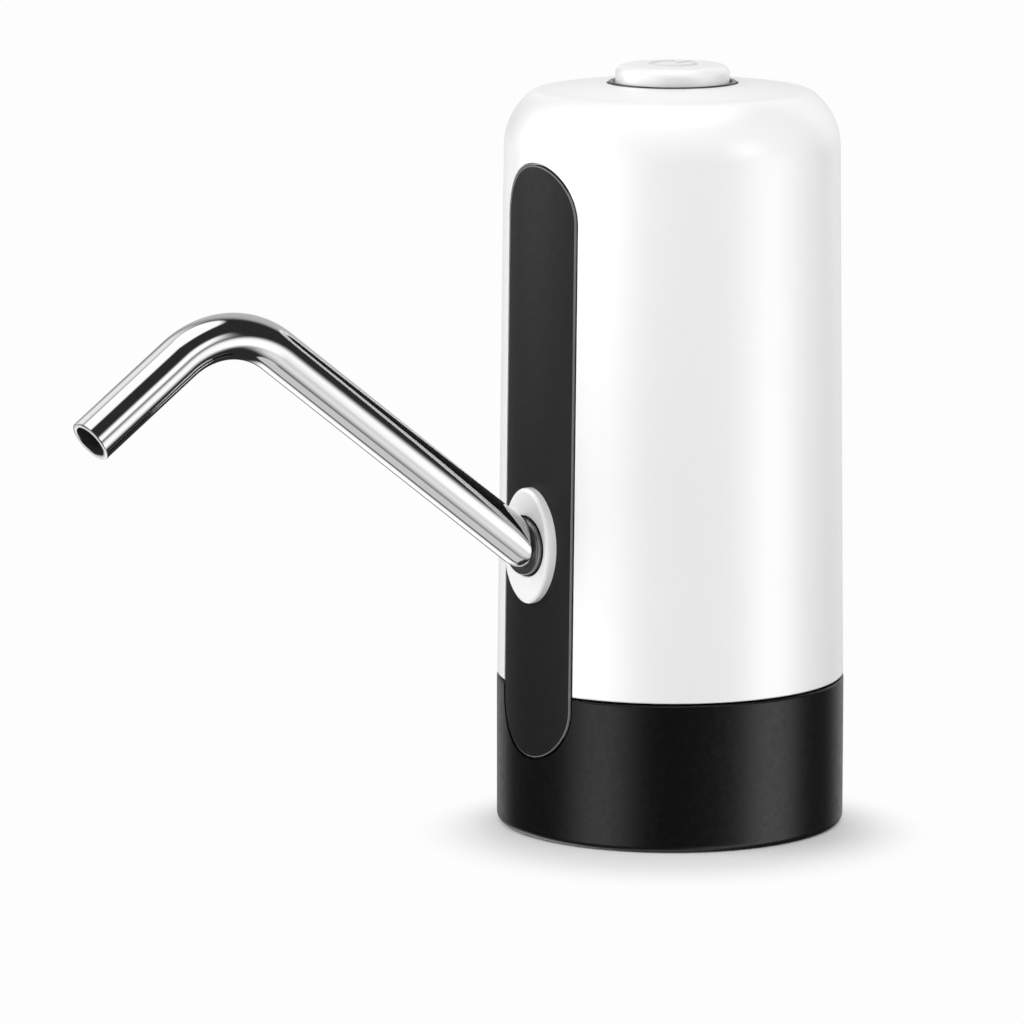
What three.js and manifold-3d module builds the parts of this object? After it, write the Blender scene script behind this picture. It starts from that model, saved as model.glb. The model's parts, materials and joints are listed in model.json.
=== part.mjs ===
// Electric water jug pump: it sits on the neck of a water bottle, and a press of its button draws water
// up into a gear pump and out of the steel spout. Millimetres, +Z up. The origin is the centre of the neck
// socket's flat ceiling, and the spout points along -Y.
import * as THREE from 'three'
import { mergeVertices } from 'three/addons/utils/BufferGeometryUtils.js'
import Module from 'manifold-3d'

const wasm = await Module()
wasm.setup()

// Whole body
const bodyRadius = 33
const bodyHeight = 139.5
const neckDepth = 25
const seamHeight = 28
const seamGap = 0.4
const rimRounding = 1.4
const seamChamfer = 0.35
const fitGap = 0.3
const runGap = 0.3
const overrun = 4

// Upper shell
const shellStep = 0.1
const shellTaper = 1.25
const shellWall = 2.4
const shellCeiling = 2.6
const crownRise = 1.5
const shoulderRadius = 12.5
const creaseAngle = 33
const creaseBlend = 1.3

// Base and the soft boot in its neck socket
const skirtWall = 3
const deckThickness = 3.2
const collarHeight = 4
const collarWall = 2
const bootWall = 2.2
const bootCeiling = 2
const bootEdgeGap = 1
const bootLead = 1
const ribBite = 0.5
const ribHeight = 1.6
const ribPitch = 8
const ribCount = 2

// Front strip
const stripHalfWidth = 10.34
const stripFoot = 15.6
const stripHeadDrop = 12.1
const stripThickness = 1.1
const stripGap = 0.5

// Spout, measured between the corners of its centre line
const spoutHeight = 56
const spoutTubeRadius = 4.25
const spoutWall = 1
const rootCornerProud = 0.5
const rootBendRadius = 4.6
const rootCollar = 1.3
const armLength = 82
const armRise = 37.1
const apexBendRadius = 18
const outletLength = 36.3
const outletFall = 34.9
const bendStep = 9

// Flange round the spout
const flangeHeight = 21.9
const flangeWidth = 14
const flangeProud = 1.2
const flangeRounding = 0.6
const spigotWall = 0.8

// Swivel bush and the port that it turns in
const bushNeckWall = 0.85
const bushBodyWall = 2.15
const bushSink = 0.6
const bushCollarGap = 0.4
const spoutSealWidth = 1.4
const spoutSealBand = 0.75
const bushSealWidth = 1.4
const bushSealBand = 2
const portWall = 1.5
const portBodySink = 5.8
const chamberLength = 4.6
const chamberRadius = 5
const portGap = 0.5

// Hoses and the fittings that they push onto
const barbRadius = 2.2
const barbBore = 1.5
const barbLength = 6
const hoseWall = 1.1
const hoseEndGap = 1
const hoseBendStep = 15
const nippleRadius = 3.5
const nippleRidge = 0.4
const nippleReach = 14
const nippleRidges = 3
const nippleFlangeRadius = 6
const nippleFlange = 1.5
const nippleRidgeShare = 0.6
const nippleRise = 7.5
const nippleSealBand = 1

// Gear pump
const motorInset = 11.4
const motorY = 2
const inletSpread = 5.5
const gearPitchRadius = 5
const gearTeeth = 10
const gearWidth = 8
const gearPressureAngle = 25
const gearBacklash = 0.3
const gearAddendum = 0.85
const gearDedendum = 1.25
const flankSteps = 3
const pumpWall = 2
const pumpDepth = 10.5
const pumpRoof = 2.4
const pumpCorner = 5
const portPocket = 2.5
const coverThickness = 2.2
const idlerShaftRadius = 1.2
const idlerSink = 1.2
const sealRingWall = 1.4
const sealRingHeight = 1.5

// Motor
const motorRadius = 12
const motorLength = 28
const canWall = 0.8
const canFloor = 1.2
const motorBossRadius = 3
const motorBossLength = 1.7
const motorShaftRadius = 1
const endCapHeight = 2.5
const magnetBand = 1.7
const magnetLength = 18
const magnetHalfAngle = 60
const armatureGap = 0.4
const armatureLength = 16
const poleCount = 3
const poleSlotWidth = 2
const poleSlotDepthShare = 0.55
const commutatorRadius = 2.8
const commutatorLength = 3.5
const commutatorDrop = 2.5
const brushWidth = 2
const brushThickness = 0.8
const brushRise = 2.8

// Battery, a standard 18650 cell
const cellRadius = 9.2
const cellLength = 65
const cellInset = 14.4
const cellY = 4
const cellNubRadius = 3
const cellNub = 0.8
const tabThickness = 0.3
const tabWidth = 6
const tabReach = 13

// Chassis
const plateThickness = 2
const wallThickness = 1.8
const wallBack = 22
const clipWall = 1.7
const clipHeight = 8
const clipLowShare = 0.22
const clipHighShare = 0.7
const clipMouthShare = 0.6
const platformDrop = 24.5
const platformHalfDepth = 8
const platformInset = 4
const postRadius = 2.5
const postHeight = 4
const saddleOverlap = 3
const saddleInset = 1.9
const saddleLength = 8
const footBack = 21
const footFront = 12.5
const linkWidth = 8.5
const legInset = 0.7
const legFront = 3
const legBack = 7
const leftFootWidth = 9

// Screws
const screwRadius = 1.2
const screwHeadRadius = 2.3
const screwHead = 1.4
const screwTip = 0.6
const screwBite = 2
const bossRadius = 3.3
const bossInset = 2.6
const bossHeight = 9
const housingBite = 7
const housingScrews = 4

// Circuit board and what is soldered to it
const boardInset = 3.25
const boardThickness = 1.6
const switchSide = 6
const switchHeight = 4
const plungerRadius = 1.6
const plungerRise = 1.4
const plungerLength = 3.2
const socketWidth = 9
const socketHeight = 3.2
const socketDepth = 8.5
const socketWall = 0.4
const socketMouthGap = 0.4
const tongueThickness = 0.7
const tongueShare = 0.7
const lampX = 9.5
const lampRadius = 1.1
const lampLength = 6.5
const chipSide = 5
const chipHeight = 1.2
const chipX = -9
const chipY = 8

// Button
const buttonRadius = 10.75
const buttonProud = 3.7
const buttonRounding = 1.4
const buttonTop = 2.5
const buttonSkirtWall = 1.5
const buttonTravel = 1.5
const buttonFlangeReach = 2.15
const buttonFlange = 1.5
const buttonHubRadius = 6
const buttonHubDrop = 11.5
const buttonStemRadius = 2
const bezelWall = 0.95
const bezelFlangeReach = 2
const bezelFlange = 1.2
const springRadius = 5
const springWire = 0.35
const springTurns = 5
const springTurnSteps = 8

// Leads
const leadRadius = 0.7
const leadSteps = 10
const leadClear = 2.2
const leadLowShare = 0.3
const leadHighShare = 0.6

// Facets for a round form, by its size
const bigRound = 20
const midRound = 7
const smallRound = 3.4
const bigSides = 40
const midSides = 24
const smallSides = 20
const tinySides = 12
const screwSides = 8
const tubeSides = 20
const hoseSides = 12
const leadSides = 6
const springSides = 6
const shoulderSteps = 6
const innerShoulderSteps = 4
const roundingSteps = 3
const buttonSteps = 4
const cornerSteps = 4
const mergeReach = 1e-5

// Levels and sizes that follow from those
const rimZ = -neckDepth
const seamZ = seamHeight - neckDepth
const topZ = bodyHeight - neckDepth
const shellSeamRadius = bodyRadius - shellStep
const shellTopRadius = shellSeamRadius - shellTaper
const crownZ = topZ + crownRise
const ceilingZ = crownZ - shellCeiling
const shoulderCeilingZ = topZ - shellCeiling
const shoulderZ = topZ - shoulderRadius * Math.cos(rad(creaseAngle))
const spoutZ = spoutHeight - neckDepth
const stripLowZ = stripFoot - neckDepth
const stripHighZ = topZ - stripHeadDrop
const skirtInner = bodyRadius - skirtWall
const neckRadius = skirtInner - fitGap - bootWall
const deckLowZ = bootCeiling + fitGap
const deckTopZ = deckLowZ + deckThickness
const collarRadius = shellSeamRadius - shellWall - fitGap
const chassisReach = collarRadius - collarWall - fitGap
const bossCircleRadius = chassisReach - bossInset
const plateLowZ = deckTopZ + fitGap
const plateTopZ = plateLowZ + plateThickness

const bushBore = spoutTubeRadius + runGap
const bushNeckRadius = bushBore + bushNeckWall
const bushBodyRadius = bushBore + bushBodyWall
const flangeBore = bushNeckRadius + runGap
const spigotRadius = flangeBore + spigotWall
const faceReach = bodyRadius + flangeProud
const portBodyReach = faceReach - portBodySink
const rootCornerReach = faceReach + rootCornerProud
const bushFaceReach = faceReach - bushSink

const motorX = motorInset - chassisReach
const gearModule = (2 * gearPitchRadius) / gearTeeth
const gearTipRadius = gearPitchRadius + gearModule * gearAddendum
const gearSpacing = 2 * gearPitchRadius
const idlerX = motorX + gearSpacing
const cavityRadius = gearTipRadius + runGap
const pumpMidX = motorX + gearPitchRadius
const pumpHalfWidth = gearPitchRadius + cavityRadius + pumpWall
const pumpHalfDepth = pumpDepth
const pumpFrontY = motorY - pumpHalfDepth
const inletY = motorY + inletSpread
const outletY = motorY - inletSpread
const [nippleX, nippleY] = [pumpMidX, inletY]
const portEndReach = portGap - pumpFrontY
const chamberEndReach = portEndReach + portWall
const chamberFrontReach = chamberEndReach + chamberLength
const portBarbReach = (chamberEndReach + chamberFrontReach) / 2
const portBore = bushBodyRadius + runGap
const bushEndReach = chamberFrontReach + bushSealWidth + 2 * fitGap
const stubEndReach = bushEndReach + fitGap

const hoseBore = barbRadius + fitGap
const hoseRadius = hoseBore + hoseWall
const hoseBend = Math.hypot(pumpMidX, portBarbReach + outletY) / 2
const hoseBendZ = deckTopZ + fitGap + hoseRadius + hoseBend
const barbTipZ = hoseBendZ + hoseEndGap
const coverLowZ = barbTipZ + barbLength
const pumpLowZ = coverLowZ + coverThickness + fitGap
const cavityTopZ = pumpLowZ + gearWidth + runGap
const pumpTopZ = cavityTopZ + pumpRoof
const shelfLowZ = pumpTopZ + fitGap
const shelfTopZ = shelfLowZ + plateThickness
const canLowZ = shelfTopZ + fitGap
const canTopZ = canLowZ + motorLength
const capTopZ = canTopZ + fitGap + endCapHeight
const magnetRadius = motorRadius - canWall - fitGap
const armatureRadius = magnetRadius - magnetBand - armatureGap
const armatureLowZ = canLowZ + (motorLength - armatureLength) / 2

const cellLowZ = plateTopZ + fitGap + tabThickness + fitGap
const cellTopZ = cellLowZ + cellLength
const cellX = chassisReach - cellInset
const wallRight = cellX - cellRadius - fitGap
const wallLeft = wallRight - wallThickness
const footRight = cellX + cellRadius + fitGap
const linkRight = wallRight + linkWidth
const saddleHalfWidth = wallRight + saddleOverlap
const platformTopZ = topZ - platformDrop
const boardLowZ = platformTopZ + postHeight + fitGap
const boardTopZ = boardLowZ + boardThickness
const boardRadius = shellTopRadius - shellWall - boardInset
const platformHalfWidth = boardRadius - platformInset
const boardPartZ = boardTopZ + fitGap

const plungerLowZ = boardPartZ + switchHeight + plungerRise - plungerLength
const buttonTopZ = crownZ + buttonProud
const bezelRadius = buttonRadius + runGap
const bezelOuter = bezelRadius + bezelWall
const bezelFlangeRadius = bezelOuter + bezelFlangeReach
const buttonHole = bezelOuter + fitGap
const bezelLowZ = ceilingZ - fitGap - bezelFlange
const buttonFlangeZ = bezelLowZ - runGap
const stemEndZ = boardPartZ + switchHeight + plungerRise + fitGap
const springLowZ = boardTopZ + fitGap + springWire
const springTopZ = buttonTopZ - buttonTop - buttonHubDrop - fitGap - springWire

const legReach = chassisReach - legInset
const leftFootInner = legReach - leftFootWidth
const saddleFront = chassisReach - saddleInset
const saddleBack = saddleFront - saddleLength
const pumpScrewInset = pumpHalfDepth - bossRadius
const pumpScrewSpread = pumpHalfWidth - bossRadius
const pumpScrewSpots = [
  [pumpMidX - pumpScrewSpread, motorY - pumpScrewInset],
  [pumpMidX - pumpScrewSpread, motorY + pumpScrewInset],
  [pumpMidX + pumpScrewSpread, motorY + pumpScrewInset],
]
const chassisScrewSpots = [
  [(wallRight + linkRight) / 2, -(saddleBack + footFront) / 2],
  [(wallRight + linkRight) / 2, footBack - bossRadius],
  [-(legReach - plateThickness + leftFootInner) / 2, motorY],
]
const motorScrewSpots = [-1, 1].map((side) => [motorX, motorY + (side * (motorRadius + motorBossRadius)) / 2])
const boardScrewX = platformHalfWidth - bossRadius
const leadOutY = platformHalfDepth + leadClear + leadRadius

function rad(degrees) {
  return (degrees * Math.PI) / 180
}

// Outer radius of the shell's wall at a level
function shellRadius(z) {
  const share = (z - seamZ) / (shoulderZ - seamZ)
  return shellSeamRadius + (shellTopRadius - shellSeamRadius) * share
}

function sidesFor(radius) {
  if (radius > bigRound) return bigSides
  if (radius > midRound) return midSides
  return radius > smallRound ? smallSides : tinySides
}

// A closed geometry with shared corners, its faces pointing out
function closed(geometry) {
  const bare = geometry.clone()
  bare.deleteAttribute('normal')
  bare.deleteAttribute('uv')
  const merged = mergeVertices(bare, mergeReach)
  const place = merged.getAttribute('position')
  const kept = []
  let volume = 0
  const [a, b, c] = [new THREE.Vector3(), new THREE.Vector3(), new THREE.Vector3()]
  for (let i = 0; i < merged.index.count; i += 3) {
    const corners = [0, 1, 2].map((k) => merged.index.getX(i + k))
    if (new Set(corners).size < 3) continue
    kept.push(...corners)
    a.fromBufferAttribute(place, corners[0])
    b.fromBufferAttribute(place, corners[1])
    c.fromBufferAttribute(place, corners[2])
    volume += a.dot(b.cross(c))
  }
  if (volume < 0) kept.reverse()
  merged.setIndex(kept)
  return merged
}

function solid(geometry) {
  const made = closed(geometry)
  return new wasm.Manifold(
    new wasm.Mesh({
      numProp: 3,
      vertProperties: new Float32Array(made.getAttribute('position').array),
      triVerts: new Uint32Array(made.index.array),
    }),
  )
}

function geometryOf(manifold) {
  const mesh = manifold.getMesh()
  const geometry = new THREE.BufferGeometry()
  geometry.setAttribute('position', new THREE.BufferAttribute(mesh.vertProperties, 3))
  geometry.setIndex(new THREE.BufferAttribute(mesh.triVerts, 1))
  return geometry
}

// The first solid, with the others joined to it
function join(first, ...others) {
  return others.reduce((sum, other) => sum.add(other), first)
}

// The first solid, with the others cut away
function cut(first, ...others) {
  return others.reduce((rest, other) => rest.subtract(other), first)
}

// A profile of [radius, level] points turned about Z
function turned(profile, sides) {
  const points = profile.map(([radius, level]) => new THREE.Vector2(radius, level))
  const most = Math.max(...profile.map(([radius]) => radius))
  return new THREE.LatheGeometry(points, sides ?? sidesFor(most)).rotateX(Math.PI / 2)
}

function disc(radius, low, high, x = 0, y = 0) {
  const profile = [[0, low], [radius, low], [radius, high], [0, high]]
  return solid(turned(profile).translate(x, y, 0))
}

function ring(inner, outer, low, high, x = 0, y = 0) {
  return turned([[inner, low], [outer, low], [outer, high], [inner, high], [inner, low]]).translate(x, y, 0)
}

function box([left, right], [front, back], [low, high]) {
  const geometry = new THREE.BoxGeometry(right - left, back - front, high - low)
  return solid(geometry.translate((left + right) / 2, (front + back) / 2, (low + high) / 2))
}

// Turned about Z, then laid along -Y at the spout's height, so that a level becomes a reach
function alongSpout(geometry) {
  return geometry.rotateX(Math.PI / 2).translate(0, 0, spoutZ)
}

function rodAlongSpout(radius, near, far) {
  return solid(alongSpout(turned([[0, near], [radius, near], [radius, far], [0, far]])))
}

// A screw of one piece, head and shank, pointing down from its seat, or up
function screw(x, y, seat, length, up = false) {
  const way = up ? 1 : -1
  const profile = [
    [0, seat - way * screwHead],
    [screwHeadRadius, seat - way * screwHead],
    [screwHeadRadius, seat],
    [screwRadius, seat],
    [screwRadius, seat + way * (length - screwTip)],
    [0, seat + way * length],
  ]
  return turned(profile, screwSides).translate(x, y, 0)
}

function screwHole(x, y, low, high) {
  const radius = screwRadius + fitGap
  return solid(turned([[0, low], [radius, low], [radius, high], [0, high]], screwSides).translate(x, y, 0))
}

// A path whose rings lie at chosen stations, each a point and a direction
class StationPath extends THREE.Curve {
  constructor(stations) {
    super()
    this.stations = stations
  }

  getPointAt(share) {
    return this.stations[Math.round(share * (this.stations.length - 1))].point.clone()
  }

  getTangentAt(share) {
    return this.stations[Math.round(share * (this.stations.length - 1))].way.clone()
  }
}

// Straight runs between corners, each inner corner rounded by its radius
function bentPath(corners, radii, step) {
  const way = (i) => corners[i + 1].clone().sub(corners[i]).normalize()
  const stations = [{ point: corners[0], way: way(0) }]
  for (let i = 1; i < corners.length - 1; i++) {
    const [before, after] = [way(i - 1), way(i)]
    const turn = before.angleTo(after)
    const axis = before.clone().cross(after).normalize()
    const start = corners[i].clone().addScaledVector(before, -radii[i - 1] * Math.tan(turn / 2))
    const centre = start.clone().addScaledVector(axis.clone().cross(before), radii[i - 1])
    const steps = Math.ceil(turn / rad(step) - 1 / 100)
    for (let k = 0; k <= steps; k++) {
      const angle = (turn * k) / steps
      const point = start.clone().sub(centre).applyAxisAngle(axis, angle).add(centre)
      stations.push({ point, way: before.clone().applyAxisAngle(axis, angle) })
    }
  }
  const last = corners.length - 1
  stations.push({ point: corners[last], way: way(last - 1) })
  return new StationPath(stations)
}

// Corners of a circle, counter-clockwise
function circlePoints(radius, sides) {
  return Array.from({ length: sides }, (_, i) => {
    const angle = (2 * Math.PI * i) / sides
    return new THREE.Vector2(radius * Math.cos(angle), radius * Math.sin(angle))
  })
}

// A tube with an open bore along a path, or a plain rod where the bore is zero
function tube(path, outer, bore, sides, steps) {
  const section = new THREE.Shape(circlePoints(outer, sides))
  if (bore > 0) section.holes.push(new THREE.Path(circlePoints(bore, sides)))
  return new THREE.ExtrudeGeometry(section, { extrudePath: path, steps })
}

// The wall that the shell and the base share, from an inset below the surface to one above it
function surfaceBand(inset, rise, low, high) {
  const wall = [[bodyRadius, low], [bodyRadius, seamZ], [shellRadius(high), high]]
  const outer = wall.map(([radius, level]) => [radius + rise, level])
  const inner = wall.map(([radius, level]) => [radius - inset, level]).reverse()
  return solid(turned([...outer, ...inner, outer[0]]))
}

// The strip's outline, a tall slot, as a prism from the axis out through the front
function stripPrism(margin) {
  const half = stripHalfWidth + margin
  const [low, high] = [stripLowZ + stripHalfWidth, stripHighZ - stripHalfWidth]
  const outline = new THREE.Shape()
  outline.absarc(0, high, half, 0, Math.PI)
  outline.absarc(0, low, half, Math.PI, 2 * Math.PI)
  const prism = new THREE.ExtrudeGeometry(outline, {
    depth: bodyRadius + overrun,
    bevelEnabled: false,
    curveSegments: midSides / 2,
  })
  return solid(prism.rotateX(Math.PI / 2))
}

function stripRecess() {
  const band = surfaceBand(stripThickness + fitGap, overrun, stripLowZ - overrun, stripHighZ + overrun)
  return band.intersect(stripPrism(stripGap))
}

// Places of the screws that hold the shell to the base
const housingSpots = Array.from({ length: housingScrews }, (_, i) => {
  const angle = (2 * Math.PI * (i + 1 / 2)) / housingScrews
  return [bossCircleRadius * Math.cos(angle), bossCircleRadius * Math.sin(angle)]
})

function baseSkirt() {
  const rounding = Array.from({ length: roundingSteps + 1 }, (_, i) => {
    const angle = (Math.PI / 2) * (i / roundingSteps - 1)
    return [
      bodyRadius - rimRounding + rimRounding * Math.cos(angle),
      rimZ + rimRounding + rimRounding * Math.sin(angle),
    ]
  })
  const collarTopZ = deckTopZ + collarHeight
  const profile = [
    [0, deckLowZ],
    [skirtInner, deckLowZ],
    [skirtInner, rimZ],
    ...rounding,
    [bodyRadius, seamZ - seamChamfer],
    [bodyRadius - seamChamfer, seamZ],
    [collarRadius, seamZ],
    [collarRadius, collarTopZ],
    [collarRadius - collarWall, collarTopZ],
    [collarRadius - collarWall, deckTopZ],
    [0, deckTopZ],
  ]
  const bosses = housingSpots.map(([x, y]) => disc(bossRadius, deckLowZ, collarTopZ, x, y))
  const bores = housingSpots.flatMap(([x, y]) => [
    screwHole(x, y, deckLowZ - overrun, collarTopZ + overrun),
    disc(screwHeadRadius + fitGap, deckLowZ - overrun, deckLowZ + screwHead + fitGap, x, y),
  ])
  const footBores = chassisScrewSpots.map(([x, y]) =>
    screwHole(x, y, deckTopZ - screwBite - fitGap, deckTopZ + overrun),
  )
  const nippleHole = disc(
    nippleRadius + fitGap + nippleSealBand + fitGap, deckLowZ - overrun, deckTopZ + overrun, nippleX, nippleY,
  )
  return cut(join(solid(turned(profile)), ...bosses), ...bores, ...footBores, nippleHole, stripRecess())
}

function neckBoot() {
  const lowZ = rimZ + bootEdgeGap
  const outer = skirtInner - fitGap
  const ribs = Array.from({ length: ribCount }, (_, i) => -ribPitch * (i + 1)).flatMap((level) => [
    [neckRadius, level + ribHeight / 2],
    [neckRadius - ribBite, level],
    [neckRadius, level - ribHeight / 2],
  ])
  const profile = [
    [0, 0],
    [neckRadius, 0],
    ...ribs,
    [neckRadius, lowZ + bootLead],
    [neckRadius + bootLead, lowZ],
    [outer, lowZ],
    [outer, bootCeiling],
    [0, bootCeiling],
  ]
  return cut(
    solid(turned(profile)),
    disc(nippleRadius + nippleRidge + fitGap, -overrun, bootCeiling + overrun, nippleX, nippleY),
  )
}

function inletNipple() {
  const pitch = nippleReach / (nippleRidges + 1)
  const ridges = Array.from({ length: nippleRidges }, (_, i) => -nippleReach + pitch * i).flatMap((level) => [
    [nippleRadius, level],
    [nippleRadius + nippleRidge, level + pitch * nippleRidgeShare],
    [nippleRadius, level + pitch * nippleRidgeShare],
  ])
  const flangeTopZ = plateLowZ + nippleFlange
  const profile = [
    [barbBore, -nippleReach],
    ...ridges,
    [nippleRadius, plateLowZ],
    [nippleFlangeRadius, plateLowZ],
    [nippleFlangeRadius, flangeTopZ],
    [barbRadius, flangeTopZ],
    [barbRadius, flangeTopZ + nippleRise],
    [barbBore, flangeTopZ + nippleRise],
    [barbBore, -nippleReach],
  ]
  return turned(profile, tinySides).translate(nippleX, nippleY, 0)
}

function nippleSeal() {
  const inner = nippleRadius + fitGap
  const [low, high] = [deckLowZ + fitGap, deckTopZ - fitGap]
  return ring(inner, inner + nippleSealBand, low, high, nippleX, nippleY)
}

function upperShell() {
  const centre = shellTopRadius - shoulderRadius
  const arc = (radius, steps, end) =>
    Array.from({ length: steps + 1 }, (_, i) => {
      const angle = (end * i) / steps
      return [centre + radius * Math.cos(angle), shoulderZ + radius * Math.sin(angle)]
    })
  const blend = creaseBlend / shoulderRadius
  const outer = arc(shoulderRadius, shoulderSteps, rad(90 - creaseAngle) - blend)
  const innerRadius = shoulderRadius - shellWall
  const inner = arc(innerRadius, innerShoulderSteps, Math.asin((shoulderCeilingZ - shoulderZ) / innerRadius))
  const creaseRadius = centre + shoulderRadius * Math.sin(rad(creaseAngle))
  const lowZ = seamZ + seamGap
  const profile = [
    [buttonHole, ceilingZ],
    [bezelFlangeRadius + fitGap, ceilingZ],
    ...inner.reverse(),
    [shellSeamRadius - shellWall, lowZ],
    [shellSeamRadius - seamChamfer, lowZ],
    [shellSeamRadius, lowZ + seamChamfer],
    ...outer,
    [creaseRadius - creaseBlend, topZ],
    [buttonHole, crownZ],
    [buttonHole, ceilingZ],
  ]
  const bossLowZ = deckTopZ + collarHeight + fitGap
  const bosses = housingSpots.map(([x, y]) => shellBoss(x, y, bossLowZ, bossLowZ + bossHeight))
  const bores = housingSpots.map(([x, y]) => {
    return screwHole(x, y, bossLowZ - overrun, bossLowZ + housingBite + fitGap)
  })
  return cut(
    join(solid(turned(profile)), ...bosses),
    ...bores,
    stripRecess(),
    rodAlongSpout(spigotRadius + fitGap, bodyRadius / 2, bodyRadius + overrun),
    socketCut(),
    lampBody(lampRadius + fitGap, overrun),
  )
}

// A screw post beside the wall, with the rib that joins it to the wall
function shellBoss(x, y, low, high) {
  const reach = shellRadius(low) - shellWall / 2
  const rib = new THREE.BoxGeometry(reach - bossCircleRadius, bossRadius, high - low)
  rib.translate((reach + bossCircleRadius) / 2, 0, (low + high) / 2).rotateZ(Math.atan2(y, x))
  return join(disc(bossRadius, low, high, x, y), solid(rib))
}

function frontStrip() {
  const inset = stripThickness
  const plate = surfaceBand(inset, 0, stripLowZ - overrun, stripHighZ + overrun).intersect(stripPrism(0))
  return cut(plate, rodAlongSpout(spigotRadius + fitGap, bodyRadius / 2, bodyRadius + overrun))
}

function spoutFlange() {
  const face = new THREE.Shape()
  const [wide, tall] = [flangeWidth / 2 - flangeRounding, flangeHeight / 2 - flangeRounding]
  face.absellipse(0, 0, wide, tall, 0, 2 * Math.PI)
  const plate = new THREE.ExtrudeGeometry(face, {
    depth: bodyRadius / 2,
    bevelThickness: flangeRounding,
    bevelSize: flangeRounding,
    bevelSegments: 2,
    curveSegments: midSides / 2,
  })
  plate.translate(0, 0, faceReach - flangeRounding - bodyRadius / 2)
  const spigotEnd = portBodyReach + bushCollarGap
  const body = cut(solid(alongSpout(plate)), disc(bodyRadius + fitGap, rimZ, topZ))
  const spigot = rodAlongSpout(spigotRadius, spigotEnd, faceReach - flangeRounding)
  return cut(join(body, spigot), rodAlongSpout(flangeBore, 0, faceReach + overrun))
}

function swivelBush() {
  const bodyFront = portBodyReach - bushCollarGap
  const grooveMid = (bodyFront + bushEndReach) / 2
  const groove = spoutSealWidth / 2 + fitGap
  const grooveRadius = bushBore + spoutSealBand + fitGap
  return alongSpout(
    turned([
      [bushBore, bushEndReach],
      [bushBodyRadius, bushEndReach],
      [bushBodyRadius, bodyFront],
      [bushNeckRadius, bodyFront],
      [bushNeckRadius, bushFaceReach],
      [bushBore, bushFaceReach],
      [bushBore, grooveMid + groove],
      [grooveRadius, grooveMid + groove],
      [grooveRadius, grooveMid - groove],
      [bushBore, grooveMid - groove],
      [bushBore, bushEndReach],
    ]),
  )
}

function spoutSeal() {
  const mid = (portBodyReach - bushCollarGap + bushEndReach) / 2
  const half = spoutSealWidth / 2
  return alongSpout(ring(bushBore, bushBore + spoutSealBand, mid - half, mid + half))
}

function bushSeal() {
  const near = chamberFrontReach + fitGap
  return alongSpout(ring(portBore - fitGap - bushSealBand, portBore - fitGap, near, near + bushSealWidth))
}

function outletPort() {
  const chamberOuter = chamberRadius + portWall
  const profile = [
    [0, portEndReach],
    [chamberOuter, portEndReach],
    [chamberOuter, chamberFrontReach - portWall],
    [portBore + portWall, chamberFrontReach - portWall],
    [portBore + portWall, portBodyReach],
    [portBore, portBodyReach],
    [portBore, chamberFrontReach],
    [chamberRadius, chamberFrontReach],
    [chamberRadius, chamberEndReach],
    [0, chamberEndReach],
  ]
  const barb = disc(barbRadius, barbTipZ, spoutZ - chamberRadius - portWall / 2, 0, -portBarbReach)
  const bore = disc(barbBore, barbTipZ - overrun, spoutZ, 0, -portBarbReach)
  return cut(join(solid(alongSpout(turned(profile))), barb), bore)
}

function spoutPath() {
  const root = new THREE.Vector3(0, -rootCornerReach, spoutZ)
  const apex = along(root, armLength, rad(armRise))
  const tip = along(apex, outletLength, -rad(outletFall))
  const start = new THREE.Vector3(0, -stubEndReach, spoutZ)
  return bentPath([start, root, apex, tip], [rootBendRadius, apexBendRadius], bendStep)
}

function along(from, length, rise) {
  return new THREE.Vector3(0, -Math.cos(rise), Math.sin(rise)).multiplyScalar(length).add(from)
}

// The bent tube, with the collar that stops it against its bush
function spoutTube() {
  const path = spoutPath()
  const steps = path.stations.length - 1
  const wall = tube(path, spoutTubeRadius, spoutTubeRadius - spoutWall, tubeSides, steps)
  const core = tube(path, spoutTubeRadius - spoutWall / 2, 0, tubeSides, steps)
  const collar = rodAlongSpout(bushNeckRadius, bushFaceReach + fitGap, bushFaceReach + fitGap + rootCollar)
  return join(solid(wall), cut(collar, solid(core)))
}

// Flexible hose from the pump down, round and up to the port, in one upright plane
function outletHose() {
  const from = new THREE.Vector3(pumpMidX, outletY, coverLowZ - fitGap)
  const to = new THREE.Vector3(0, -portBarbReach, spoutZ - portBore - portWall - fitGap)
  const low = hoseBendZ - hoseBend
  const corners = [from, from.clone().setZ(low), to.clone().setZ(low), to]
  const path = bentPath(corners, [hoseBend, hoseBend], hoseBendStep)
  return tube(path, hoseRadius, hoseBore, hoseSides, path.stations.length - 1)
}

function inletHose() {
  return ring(hoseBore, hoseRadius, plateLowZ + nippleFlange + fitGap, coverLowZ - fitGap, nippleX, nippleY)
}

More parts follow.
